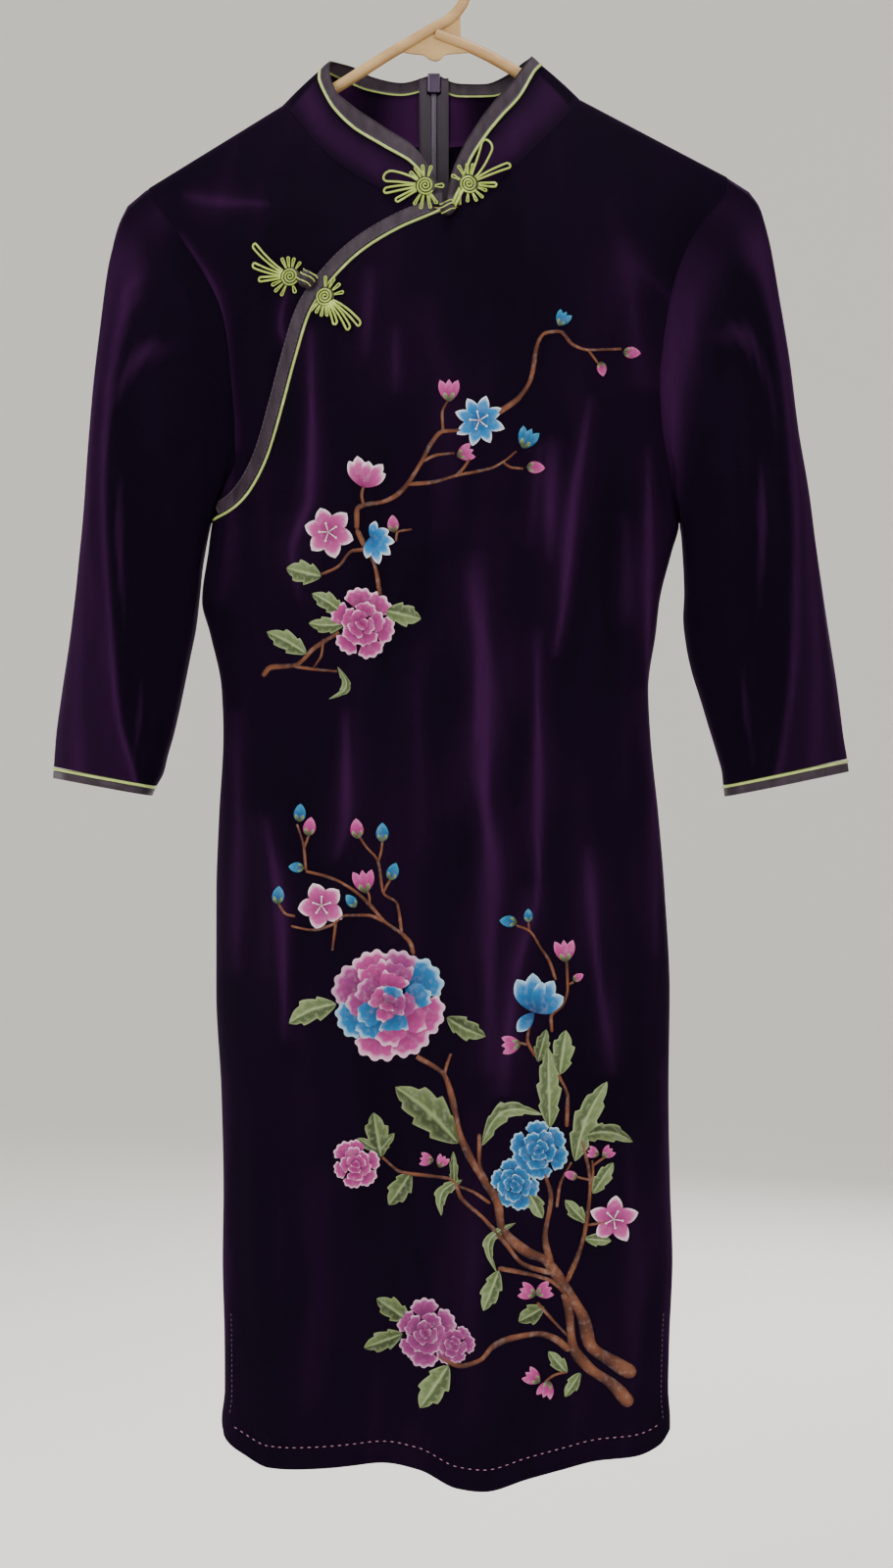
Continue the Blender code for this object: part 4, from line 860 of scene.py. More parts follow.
def makeBackHalf(name, side, node):
    stations = collarLeft if side < 0 else collarRight
    neck = neckBack(stations)
    seam = Path([stations[collar["shoulder"]][:2], shoulderTips[side]])
    arm = SideEdge(side, shoulderTips[side][1], cut["underarm"])
    u = refine(halfShares(9)[::-1], panels["backStep"])
    onNeck = neck.at(1 - np.maximum(1 - u / panels["backNeck"], 0) ** 1.6)
    onSeam = seam.at(np.clip((u - panels["backNeck"]) / (1 - panels["backNeck"]), 0, 1))
    top = np.where((u < panels["backNeck"])[:, None], onNeck, onSeam)
    v = refine(list(panelLevels), levelStep)
    startDrop = top[0][1]
    zipDrop = startDrop + (cut["underarm"] - startDrop) * v
    zipSide = stack(backCentre(zipDrop) + side * cut["zipEdge"], zipDrop)
    top[0, 0] = zipSide[0, 0]
    ends = zipSide[-1], arm.at(1.0)
    bottom = ends[0] + (ends[1] - ends[0]) * u[:, None]
    places = patch(top, bottom, zipSide, arm.at(v), u, v)
    places = np.concatenate((places, lowerPart(side * u, cut["underarm"], True, side)))
    x, drop = places[..., 0], places[..., 1]
    # painted highlights along the ridges of the back's folds and creases
    paintedSheen = np.clip(foldHeight(backFolds, x, drop) / 24 + foldHeight(backCreases, x, drop) / 3.4, 0, 0.42)
    shell(name, panelGrid(x, drop, True), "velvet", node, cut["clothWall"], side=1, paintedSheen=paintedSheen, flip=side < 0)


makeFrontMain()
makeFrontShoulder()
makeBackHalf("velvetBackLeft", -1, "back_left")
makeBackHalf("velvetBackRight", 1, "back_right")
print("body panels cut and hung")


# sleeves: outer x and drop, inner x and drop, half depth, front crease as a share across
sleeveColumns = ("outerX", "outerDrop", "innerX", "innerDrop", "depth", "crease")
sleeveLeft = (
    (-224.5, 207, -167.2, 438, 15, 0.46), (-231, 221, -169, 448, 17, 0.44),
    (-237, 246, -171.5, 463, 20, 0.4), (-243, 293, -173.6, 484, 22, 0.36),
    (-247.5, 332, -176, 504, 23, 0.35), (-251.5, 378, -180, 524, 23, 0.36),
    (-255, 425, -184.2, 545, 23, 0.4), (-259.5, 465, -188, 563, 22, 0.46),
    (-264.5, 507, -192, 580, 21, 0.52), (-270.5, 548, -196, 594, 20, 0.6),
    (-274.8, 580, -199, 606, 19, 0.66), (-276.4, 601.5, -203.8, 615, 18, 0.7),
    (-277, 609.5, -207, 622, 18, 0.72),
)
sleeveRight = (
    (213, 197, 165.3, 441, 15, 0.46), (220.5, 208, 166, 452, 17, 0.44), (226, 229, 166.8, 465, 20, 0.4),
    (233, 270, 167.2, 480, 22, 0.36), (240.5, 315, 166.5, 497, 23, 0.36),
    (247, 365, 168.5, 516, 23, 0.38), (254.5, 407, 172, 533, 23, 0.42), (261, 452, 178.5, 554, 22, 0.48),
    (268, 500, 184.5, 574, 21, 0.54), (274.6, 543, 190, 592, 20, 0.62),
    (279.5, 581, 193.8, 606, 19, 0.68), (282, 596, 194.6, 614.5, 18, 0.7),
    (283.2, 605, 195.6, 622.5, 18, 0.72),
)
sleeve = {
    "seamStrip": 3.5, "room": 1.2, "backDepth": 0.8, "rippleHeight": 0.7, "ringStep": 0.1, "aroundStep": 0.04,
}
# sleeve creases: first row, last row, share across, half width as a share, height
sleeveCreases = (
    (0.6, 6.0, 0.36, 0.07, 1.6), (3.5, 8.5, 0.52, 0.08, 1.5), (6.5, 11.0, 0.66, 0.07, 1.4),
    (2.0, 9.0, 0.2, 0.08, 1.2), (5.0, 11.0, 0.82, 0.07, 1.0), (0.5, 4.0, 0.6, 0.08, 0.9),
)
# painted sheen on the outer part of a sleeve, up to a crease at a share across that changes with the row
sleeveSheen = {
    "outer": 0.2, "line": 0.32, "rightShare": 0.7, "armholeGlow": 0.4, "edgeGlow": 0.12,
    "creaseLeft": ((1, 9, 12), (0.13, 0.48, 0.8)), "creaseRight": ((0, 6, 12), (0.1, 0.2, 0.4)),
}


def sleeveShares():
    return refine([0.0] + list(panelLevels[3:]), sleeve["aroundStep"])


def sleeveFine(row, share):
    bend = np.zeros(share.shape)
    for first, last, middle, halfWidth, height in sleeveCreases:
        t = np.clip((row - first) / (last - first), 0, 1)
        away = np.minimum(np.abs(share - middle - 0.05 * math.sin(row)) / halfWidth, 1)
        bend += height * math.sin(math.pi * t) * 0.5 * (1 + np.cos(math.pi * away))
    fade = np.sin(math.pi * share) ** 0.5
    ripple = np.sin(row * 1.9 + share * 7) * np.sin(share * 13 - row * 0.9) * sleeve["rippleHeight"]
    return (bend + ripple * 0.5) * fade


def armholeRing(side, reach):
    shares = sleeveShares()
    arm = SideEdge(side, shoulderTips[side][1], cut["underarm"]).at(shares)
    over = arm[:, 1] - shoulderDrop(arm[:, 0])
    deep = np.where((shares > 0) & (shares < 1), edgeDepth(arm[:, 1], over), 0)
    bulge = np.sin(math.pi * shares)
    away = stack(side * (0.85 + 0.15 * bulge), 0.53 * np.abs(1 - 2 * shares))
    arm = arm + away * reach
    deep = deep + 0.25 * reach * bulge
    front = stack(arm[:, 0], -deep, -arm[:, 1])
    back = stack(arm[:, 0], deep, -arm[:, 1])
    return np.concatenate((front, back[-2:0:-1]))


def sleeveRing(side, row, grown=0.0):
    table = sleeveLeft if side < 0 else sleeveRight
    keys = np.arange(len(table), dtype=float)
    v = {name: float(readSmooth(keys, column, row)) for name, column in zip(sleeveColumns, zip(*table))}
    arm = SideEdge(side, shoulderTips[side][1], cut["underarm"])
    shares = sleeveShares()
    top, low = arm.at(0.0), arm.at(1.0)
    turn = np.arccos(1 - 2 * shares)
    curve = (arm.at(shares) - (top + (low - top) * shares[:, None])) * float((1 - ease(-1, 6, row)) ** 2)
    skew = np.where(shares > 0, shares, 1e-9) ** (math.log(v["crease"]) / math.log(0.5))
    lean = shares + (skew - shares) * float(ease(-1, 3, row))
    result = []
    for share, deep, sign in ((lean, v["depth"], -1), (shares, v["depth"] * sleeve["backDepth"], 1)):
        x = v["outerX"] + (v["innerX"] - v["outerX"]) * share + curve[:, 0]
        drop = v["outerDrop"] + (v["innerDrop"] - v["outerDrop"]) * share + curve[:, 1]
        limit = side * sideAt(side, drop) + sleeve["room"]
        x = side * np.maximum(side * x, limit)
        y = (deep + grown) * np.sin(turn) ** 0.9 + sleeveFine(row, shares) * float(ease(0, 1.5, row))
        result.append(stack(x, sign * np.where((shares > 0) & (shares < 1), y, 0), -drop))
    front, back = result
    return np.concatenate((front, back[-2:0:-1]))


def sleevePaintedSheen(side, word, last, rows):
    shares = sleeveShares()
    count = len(shares)
    paintedSheen = np.zeros((rows, 2 * count - 2))
    for k, row in enumerate(np.linspace(0, last, rows)):
        # painted highlight on the crease ridges
        ridge = np.clip((sleeveFine(row, shares) - 0.9) / 3.2, 0, 0.3)
        beyond = shares - np.interp(row, *sleeveSheen["crease" + word])
        lit = sleeveSheen["outer"] * (1 - ease(-0.03, 0.03, beyond))
        lit = lit + sleeveSheen["line"] * np.exp(-(beyond / 0.035) ** 2)
        lit = lit * float(ease(0.8, 2.6, row)) * (1 if side < 0 else sleeveSheen["rightShare"])
        paintedSheen[k] = np.concatenate((ridge + lit, ridge[-2:0:-1] * 0.8))
    if side > 0:  # painted highlight along the right armhole
        glow = np.exp(-((np.arange(rows) - 5) / 9.0) ** 2)[:, None]
        across = np.sin(math.pi * np.clip(shares * 1.2 - 0.15, 0, 1))
        paintedSheen[:, :count] += glow * across * sleeveSheen["armholeGlow"]
    # a painted highlight strip near the outer edge
    paintedSheen[:, :count] += np.exp(-((shares - 0.085) / 0.045) ** 2) * sleeveSheen["edgeGlow"]
    return np.clip(paintedSheen, 0, 1)


def makeSleeve(side, word):
    last = len(sleeveLeft) - 2
    rows = np.arange(0, last + 1e-6, sleeve["ringStep"])
    rings = [armholeRing(side, reach) for reach in (-0.7, 0.6, 2.0, sleeve["seamStrip"])]
    first, start = sleeveRing(side, 0.0), rings[-1]
    rings += [start + (first - start) * t for t in (0.25, 0.5, 0.75)]
    rings += [sleeveRing(side, row) for row in rows]
    shell("velvetSleeve" + word, rings, "velvet", "sleeve_" + word.lower(), cut["clothWall"], closed=True,
          paintedSheen=sleevePaintedSheen(side, word, last, len(rings)), flip=side < 0)
    cord("cuffPiping" + word, [sleeveRing(side, last + 0.15, 0.4)], cut["pipingRadius"], "piping",
         "cuff_piping_" + word.lower(), cyclic=True)
    rings = [sleeveRing(side, last + t, 0.5 * math.sin(math.pi * (t - 0.28) / 0.72) + 0.1)
             for t in np.linspace(0.28, 1.0, 7)]
    shell("cuffBinding" + word, rings, "satin", "cuff_binding_" + word.lower(), cut["bandWall"], closed=True,
          flip=side < 0)


makeSleeve(-1, "Left")
makeSleeve(1, "Right")
print("sleeves set in")


# collar
def makeCollar(stations, word):
    last, shoulder = len(stations) - 1, collar["shoulder"]
    behind, ahead = neckBack(stations), neckFront(stations, (stations[-1][0], stations[-1][1] + 0.5))
    keys = np.arange(last + 1, dtype=float)
    table = np.array(stations, float)
    t = np.linspace(0, last, collar["steps"] + 1)
    onBack = behind.at(np.interp(t, keys[:shoulder + 1], behind.keys))
    onFront = ahead.at(np.interp(np.maximum(t - shoulder, 0), keys[:len(ahead.keys) - 1], ahead.keys[:-1]))
    isBack = t <= shoulder
    x, drop = np.where(isBack[:, None], onBack, onFront).T
    y = np.where(isBack, clothY(x, drop, True, False), clothY(x, drop, False, False))
    y = np.where(np.abs(t - shoulder) > 0.05, y, 0)
    foot = stack(x, y, -drop)

    def read(first):
        x, y, drop = (readSmooth(keys, column, t) for column in table[:, first:first + 3].T)
        return stack(x, y, -drop)

    def towards(start, end, distance, along=None):
        gap = end - start
        if along is not None:
            gap = gap - along * np.sum(gap * along, axis=-1, keepdims=True)
        return start + gap * (distance / np.linalg.norm(gap, axis=-1, keepdims=True))

    line, edge = read(2), read(5)
    foot = towards(foot, line, collar["lift"])
    run = np.gradient(line, axis=0)
    run /= np.linalg.norm(run, axis=-1, keepdims=True)
    rim = towards(line, foot, collar["rimRoom"], run)
    bandFoot = towards(line, edge, collar["bandRoom"], run)
    out = (foot + rim) / 2 - (-8.0, 0.0, 0.0)
    out[:, 2] = 0
    out /= np.linalg.norm(out, axis=-1, keepdims=True)
    shares = np.linspace(0, 1, collar["rows"])
    velvetPart = [rim + (foot - rim) * s + out * collar["bow"] * math.sin(math.pi * s) for s in shares]
    throat = clothY(edge[-1, 0], collar["endDrop"])
    ends = np.linspace(0.2, 1, 5)

    def lengthen(row):
        goal = np.array([row[-1][0], float(throat), -collar["endDrop"]])
        return np.concatenate((row, [row[-1] + (goal - row[-1]) * s for s in ends]))

    longOut = np.concatenate((out, np.repeat(out[-1:], len(ends), 0))) * collar["bandBow"]
    band = [lengthen(edge + (bandFoot - edge) * s) + longOut * math.sin(math.pi * s)
            for s in np.linspace(0, 1, 6)]
    # painted sheen on the collar's outer face, and on the inside of the back collar
    paintedSheen = np.clip(np.sin(t / 1.7) * 0.25, 0, 0.25) + 0.3 * np.sin(math.pi * shares)[:, None] * (t > 6)
    inside = np.clip(0.3 + 0.25 * np.sin(t * 2.3 + 0.6), 0, 1) * (t < 7)
    shell("velvetCollar" + word, velvetPart, "velvet", "collar_" + word.lower(), cut["clothWall"], paintedSheen=paintedSheen,
          flip=word == "Left", inside=inside)
    shell("collarBinding" + word, band, "satin", "collar_binding_" + word.lower(), cut["bandWall"],
          flip=word == "Left")
    cord("collarPiping" + word, [lengthen(line)], cut["pipingRadius"], "piping",
         "collar_piping_" + word.lower())


makeCollar(collarLeft, "Left")
makeCollar(collarRight, "Right")


# placket band and piping
def squareOut(x, drop, lift):  # a point square above the front
    across = clothY(x + 0.5, drop) - clothY(x - 0.5, drop)
    down = clothY(x, drop + 0.5) - clothY(x, drop - 0.5)
    out = stack(across, -np.ones_like(across), -down)
    out /= np.linalg.norm(out, axis=-1, keepdims=True)
    return stack(x, clothY(x, drop), -drop) + out * lift


def makePlacket():
    x, drop = placket.beside(np.linspace(0, 0.996, 150), cut["pipingRoom"]).T
    cord("placketPiping", [squareOut(x, drop, 0.15)], cut["pipingRadius"], "piping", "placket_piping")
    rows = []
    for share in np.linspace(1, 0, 7):
        reach = 2 * cut["pipingRoom"] - 0.5 + cut["placketBand"] * share
        x, drop = placket.beside(np.linspace(0.012, 0.974, 140), reach).T
        x = np.maximum(x, bodyAt("left", drop) + 1.2)
        rows.append(squareOut(x, drop, cut["bandLift"] + 0.35 * math.sin(math.pi * share)))
    shell("placketBinding", rows, "satin", "placket_binding", cut["bandWall"])


makePlacket()
print("collar, bindings and piping sewn on")


# frog closures of lime cord: angle, reach, width, open loop, sideways bend
frogs = {
    "TopLeft": {"place": (-14.4, 207.0), "raised": 1.0, "node": "frog_top_left", "petals": (
        (0, 13, 3.6, 0, 0), (73, 14.3, 2.5, 0, 0), (98, 14.5, 2.5, 0, 0), (119, 15, 2.5, 0, 0),
        (137, 14.5, 2.5, 0, 0), (157, 30, 9, 1, 2.5), (181, 29, 5.4, 1, 1.5), (203, 23, 4.4, 1, 1),
        (239, 15.3, 2.6, 0, 0), (259, 16.6, 2.6, 0, 0), (283, 16.4, 2.6, 0, 0), (303, 15, 2.6, 0, 0))},
    "TopRight": {"place": (15.1, 205.5), "raised": 1.0, "node": "frog_top_right", "petals": (
        (-94, 12.8, 2.5, 0, 0), (-65, 13.2, 2.6, 0, 0), (-42, 13.5, 2.6, 0, 0), (-16, 13.2, 2.6, 0, 0),
        (3, 19.7, 4.4, 1, 0), (33, 33, 5, 1, -2), (60, 34, 9.5, 1, 2.5), (78, 14.5, 2.4, 0, 0),
        (95, 14, 2.5, 0, 0), (120, 14.5, 2.6, 0, 0), (154, 13.2, 2.8, 0, 0))},
    "LowUpper": {"place": (-107.0, 266.6), "raised": 0.2, "node": "frog_low_upper", "petals": (
        (52, 12.2, 2.6, 0, 0), (77, 13.2, 2.6, 0, 0), (96, 14.2, 2.6, 0, 0), (114, 14.8, 2.6, 0, 0),
        (144, 36, 4.8, 1, -4), (163, 29, 4.8, 1, -2), (180, 22.8, 4.4, 1, 0), (200, 14.2, 2.8, 0, 0),
        (221, 14.6, 2.6, 0, 0), (244, 14.4, 2.6, 0, 0), (288, 12.6, 3, 0, 0))},
    "LowLower": {"place": (-82.6, 282.6), "raised": 1.8, "node": "frog_low_lower", "petals": (
        (-138, 13.8, 2.6, 0, 0), (-119, 13, 2.6, 0, 0), (-100, 14.2, 2.5, 0, 0), (-83, 14.4, 2.5, 0, 0),
        (-66, 22, 4.4, 1, -1), (-48, 29.5, 4.8, 1, -3), (-33, 32.5, 5, 1, -4), (9, 13.4, 2.8, 0, 0),
        (37, 13.4, 2.8, 0, 0), (62, 14, 2.6, 0, 0), (88, 14.2, 2.6, 0, 0))},
}
frogCord = {
    "petalRadius": 0.46, "loopRadius": 0.72, "coilRadius": 0.56, "discRadius": 6.7, "turns": 2.9,
    "crown": 1.1, "arch": 0.35,
}


def frogLevel(x, drop):  # the cloth under a frog, kept below the collar's seam
    result = 0.0
    for stations, chosen in ((collarLeft, x < 0), (collarRight, x >= 0)):
        seam = sorted((abs(row[0]), row[1]) for row in stations[collar["shoulder"] + 1:])
        lowest = np.where(np.abs(x) < 60, np.interp(np.abs(x), *zip(*seam)), 0)
        result = np.where(chosen, clothY(x, np.maximum(drop, lowest), fine=False), result)
    return result


def makeFrog(word, frog):
    x, drop = frog["place"]
    petals, loops = [], []
    for angle, reach, width, isOpen, bend in frog["petals"]:
        radius = frogCord["loopRadius"] if isOpen else frogCord["petalRadius"]
        half = max(width / 2 - radius, 0.8)
        root, tip = frogCord["discRadius"] - 0.1, reach - width / 2
        s = np.linspace(0, 1, 12)
        swell = half * (0.3 + 0.7 * s ** (0.6 if isOpen else 0.9))
        out = stack(root + (tip - root) * s, -swell)
        a = np.linspace(-math.pi / 2, math.pi / 2, 9)[1:-1]
        bow = stack(tip + (width / 2 - radius) * np.cos(a), half * np.sin(a))
        path = np.concatenate((out, bow, out[::-1] * (1, -1)))
        path[:, 1] += bend * ((path[:, 0] - root) / (tip - root)) ** 2
        c, sn = math.cos(math.radians(angle)), math.sin(math.radians(angle))
        px, pz = path[:, 0] * c - path[:, 1] * sn, path[:, 0] * sn + path[:, 1] * c
        arch = frogCord["arch"] * np.sin(math.pi * np.linspace(0, 1, len(px)))
        y = frogLevel(x + px, drop - pz) - frog["raised"] - radius - 0.25 - arch
        (loops if isOpen else petals).append(stack(x + px, y, pz - drop))
    turn = np.linspace(0, 2 * math.pi * frogCord["turns"], 110)
    r = frogCord["coilRadius"] * 0.6 + (frogCord["discRadius"] - 1.0) * turn / turn[-1]
    px, pz = r * np.cos(turn), r * np.sin(turn)
    crown = frogCord["crown"] * (1 - r / frogCord["discRadius"])
    y = frogLevel(x + px, drop - pz) - frog["raised"] - 1.5 - crown
    coil = stack(x + px, y, pz - drop)
    shadeDiscUnder("frogShadeDisc" + word, x, drop, frog["raised"])
    cord("frogPetals" + word, petals, frogCord["petalRadius"], "frog", frog["node"], sides=8)
    cord("frogCoil" + word, [coil], frogCord["coilRadius"], "frog", sides=10)
    cord("frogLoops" + word, loops, frogCord["loopRadius"], "frog")


# a dark disc under the coil: painted shade that shows between the coil's turns
def shadeDiscUnder(name, x, drop, raised):
    rings, around = [], np.linspace(0, 2 * math.pi, 33)[:-1]
    for r, lift in ((0.2, 1.6), (2.5, 1.5), (4.8, 1.2), (6.5, 0.6)):
        px, pz = x + r * np.cos(around), r * np.sin(around) - drop
        rings.append(stack(px, frogLevel(px, -pz) - raised - lift, pz))
    shell(name, rings, "cordShade", None, 0.6, closed=True, flip=True)


for word, frog in frogs.items():
    makeFrog(word, frog)


# knot buttons: a dark satin ball wound with cord, edged in lime
knots = {
    "Top": {"place": (0.7, 223.4), "raised": 1.2, "radius": 5.2, "node": "frog_top_knot", "lean": 0.2},
    "Low": {"place": (-95.2, 270.6), "raised": 2.2, "radius": 6.2, "node": "frog_low_knot", "lean": -0.7},
}


def makeKnot(word, knot):
    x, drop = knot["place"]
    radius, lean = knot["radius"], knot["lean"]
    centre = np.array([x, float(clothY(x, drop)) - knot["raised"] - radius * 0.8, -drop])
    tilt = np.linspace(0.02, math.pi - 0.02, 40)[:, None]
    turn = np.linspace(0, 2 * math.pi, 73)[:-1][None, :]
    wound = 1 + 0.055 * np.abs(np.sin(2.5 * turn + 3.2 * tilt)) * np.sin(tilt)
    r = radius * 0.95 * wound
    c, s = math.cos(lean), math.sin(lean)

    def leant(x, y, z):
        return stack(x * c - z * s, y, x * s + z * c)

    x, y = r * np.sin(tilt) * np.cos(turn), r * np.sin(tilt) * np.sin(turn) * 0.8
    shell("knotBall" + word, leant(x, y, r * np.cos(tilt)) + centre, "satin", knot["node"], 0.9, closed=True,
          flip=True)
    lines = []
    a = np.linspace(-1.25, 1.25, 26)
    for shift in (-0.55, 0.25, 0.95):
        y = -radius * 0.8 * np.cos(a) * math.cos(shift) - 0.12
        z = radius * (0.92 * math.sin(shift) + 0.16 * np.sin(a * 2))
        lines.append(leant(radius * np.sin(a), y, z) * (0.97, 1.02, 0.97) + centre)
    cord("knotEdge" + word, lines, 0.42, "frog", sides=8)


def makeKnotNeck():
    x, drop = np.linspace(9, 3, 14), np.linspace(208.5, 221, 14)
    neck = stack(x, frogLevel(x, drop) - 2.4, -drop)
    cord("knotNeck", [neck, neck + (2.0, 0, -1.4)], 0.95, "frog")


for word, knot in knots.items():
    makeKnot(word, knot)
makeKnotNeck()
print("frogs and knot buttons tied")


# zip: woven tapes, closed teeth, enamelled slider and pull
zipValues = {
    "collarInside": 20.8, "sliderTop": 107.5, "wideTo": 123.0, "lowDrop": 583.0, "tapeEdge": 10.5,
    "teethPitch": 1.35,
}


def zipFace(x, drop):
    seamDrop, inside, top = cut["seamDrop"], zipValues["collarInside"], zipValues["sliderTop"]
    seam = float(clothY(backCentre(seamDrop), seamDrop, True, False))
    inCollar = inside + (seam - inside) * (drop - top) / (seamDrop - top)
    return np.where(drop < seamDrop, inCollar, clothY(x, drop, True))


def makeZip():
    drop = np.concatenate((np.linspace(111, 122, 6), np.linspace(124, zipValues["lowDrop"], 160)))
    centre = backCentre(drop)
    y = zipFace(centre, drop) - 2.2
    inner = np.where(drop < zipValues["wideTo"], 4.9, 1.6)
    for side, word in ((-1, "Left"), (1, "Right")):
        rows = [stack(centre + side * (inner + (zipValues["tapeEdge"] - inner) * s), y, -drop)
                for s in np.linspace(0, 1, 5)]
        shell("zipTape" + word, rows, "tape", "zip_tape_" + word.lower(), 0.6, flip=side > 0)
    drop = np.linspace(zipValues["wideTo"], zipValues["lowDrop"], 300)
    centre = backCentre(drop)
    y = zipFace(centre, drop) - 3.0
    rows = [stack(centre + s, y - 0.2 + 0.25 * abs(s), -drop) for s in (-1.5, -0.7, 0, 0.7, 1.5)]
    shell("zipCoilCore", rows, "teeth", "zip_coil", 0.5, flip=True)
    lines = [stack(centre + s, y - 0.35, -drop) for s in (-0.95, 0.95)]
    stitchRow("zipTeeth", lines, zipValues["teethPitch"], (1.25, 0.62, 0.5), "teeth")


makeZip()
for node in ("zip_slider", "zip_pull"):
    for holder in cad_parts[node].material_slots:
        holder.material = looks["enamel"]


# hanger: one bent tube, with the moulded web and gusset at its apex
hanger = {
    "tube": 4.0, "hook": 22.0, "hookTurn": 112.0, "webWall": 2.0, "gussetWall": 1.6, "bevel": 0.35,
    "left": ((13, 62), (7.7, 70.3), (2, 75.7), (-11.9, 83.3), (-25.1, 91.4), (-38.3, 98.9), (-80, 125),
             (-150, 165.6), (-196, 193)),
    "bar": ((-186, 216), (-90, 213.5), (90, 210), (178, 208.5)),
    "right": ((187, 187.8), (150, 169), (96, 142.4), (62, 121), (50, 113), (30.7, 101.8), (14.5, 94.1),
              (-3.4, 87.4), (-7.5, 85.6)),
    "web": ((-31.5, 98.5), (-25.1, 93.5), (-10, 85), (-5.8, 88), (14.5, 96.5), (17, 98.9), (8, 99.6),
            (0.6, 100.2), (-1.4, 101.2), (-3.8, 103.9), (-7.9, 105.2), (-12.4, 103.7), (-15, 101.4),
            (-17, 100.5), (-24, 100)),
    "gusset": ((9.6, 72.5), (9.9, 90), (2.2, 87), (-3, 82), (4, 76)),
}


def hangerLine():
    points = []
    for degrees in np.linspace(-hanger["hookTurn"], hanger["hookTurn"], 50):
        a = math.radians(degrees)
        points.append((hanger["hook"] * math.sin(a), hanger["hook"] * (1 - math.cos(a)) - hanger["tube"]))
    left = Path([points[-1]] + list(hanger["left"]))
    points += left.at(np.linspace(0, 1, 90)[1:]).tolist()
    points += turnRound(hanger["left"][-1], hanger["bar"][0], -1)
    points += Path(hanger["bar"]).at(np.linspace(0, 1, 30)).tolist()
    points += turnRound(hanger["bar"][-1], hanger["right"][0], 1)
    points += Path(hanger["right"]).at(np.linspace(0, 1, 60)).tolist()
    points = np.array(points, float)
    for _ in range(2):
        points[1:-1] = (points[:-2] + 2 * points[1:-1] + points[2:]) / 4
    return stack(points[:, 0], np.zeros(len(points)), -points[:, 1])


def turnRound(start, end, side):
    start, end = np.array(start), np.array(end)
    middle, half = (start + end) / 2, (start - end) / 2
    out = np.array([side, 0.25]) * 10
    return [tuple(middle + half * math.cos(a) + out * math.sin(a)) for a in np.linspace(0, math.pi, 20)[1:-1]]


def plate(name, outline, wall, node):
    shape = bmesh.new()
    ring = [shape.verts.new((x * mm, -wall / 2 * mm, -drop * mm)) for x, drop in outline]
    face = shape.faces.new(ring)
    grown = bmesh.ops.extrude_face_region(shape, geom=[face])
    for item in grown["geom"]:
        if isinstance(item, bmesh.types.BMVert):
            item.co.y += wall * mm
    bmesh.ops.recalc_face_normals(shape, faces=shape.faces[:])
    bmesh.ops.bevel(shape, geom=shape.edges[:], offset=hanger["bevel"] * mm, segments=2, affect="EDGES",
                    clamp_overlap=True)
    mesh = bpy.data.meshes.new(name)
    shape.to_mesh(mesh)
    shape.free()
    mesh.shade_smooth()
    mesh.set_sharp_from_angle(angle=math.radians(50))
    addObject(name, mesh, "plastic", node)


cord("hangerTube", [hangerLine()], hanger["tube"], "plastic", "hanger", sides=28)
plate("hangerWeb", hanger["web"], hanger["webWall"], "hanger_web")
plate("hangerGusset", hanger["gusset"], hanger["gussetWall"], "hanger_gusset")
print("zip and hanger done")


# silk embroidery on the front, in the photograph's places
silk = {  # base, middle and rim of a petal's shading
    "pink": ((0.12, 0.006, 0.065), (0.4, 0.04, 0.215), (0.86, 0.56, 0.72)),
    "pinkTip": ((0.2, 0.01, 0.1), (0.46, 0.07, 0.26), (0.96, 0.84, 0.9)),
    "blueTip": ((0.005, 0.06, 0.2), (0.01, 0.2, 0.5), (0.9, 0.94, 0.97)),
    "mauve": ((0.09, 0.006, 0.06), (0.28, 0.036, 0.18), (0.66, 0.4, 0.55)),
    "bud": ((0.16, 0.008, 0.08), (0.42, 0.045, 0.22), (0.56, 0.14, 0.34)),
    "blue": ((0.0, 0.028, 0.11), (0.008, 0.15, 0.38), (0.42, 0.64, 0.78)),
    "blueBud": ((0.0, 0.03, 0.1), (0.006, 0.14, 0.32), (0.03, 0.27, 0.46)),
    "leaf": ((0.014, 0.022, 0.006), (0.05, 0.072, 0.02), (0.22, 0.28, 0.12)),
    "sage": ((0.026, 0.04, 0.012), (0.085, 0.125, 0.042), (0.28, 0.35, 0.16)),
    "bark": ((0.024, 0.007, 0.004), (0.12, 0.036, 0.014), (0.2, 0.08, 0.035)),
    "seed": ((0.7, 0.55, 0.6), (0.82, 0.72, 0.76), (0.9, 0.86, 0.88)),
}
chance = np.random.default_rng(7)


def shade(colour, share):
    return np.stack([np.interp(share, (0, 0.6, 0.96), channel) for channel in zip(*silk[colour])], axis=-1)


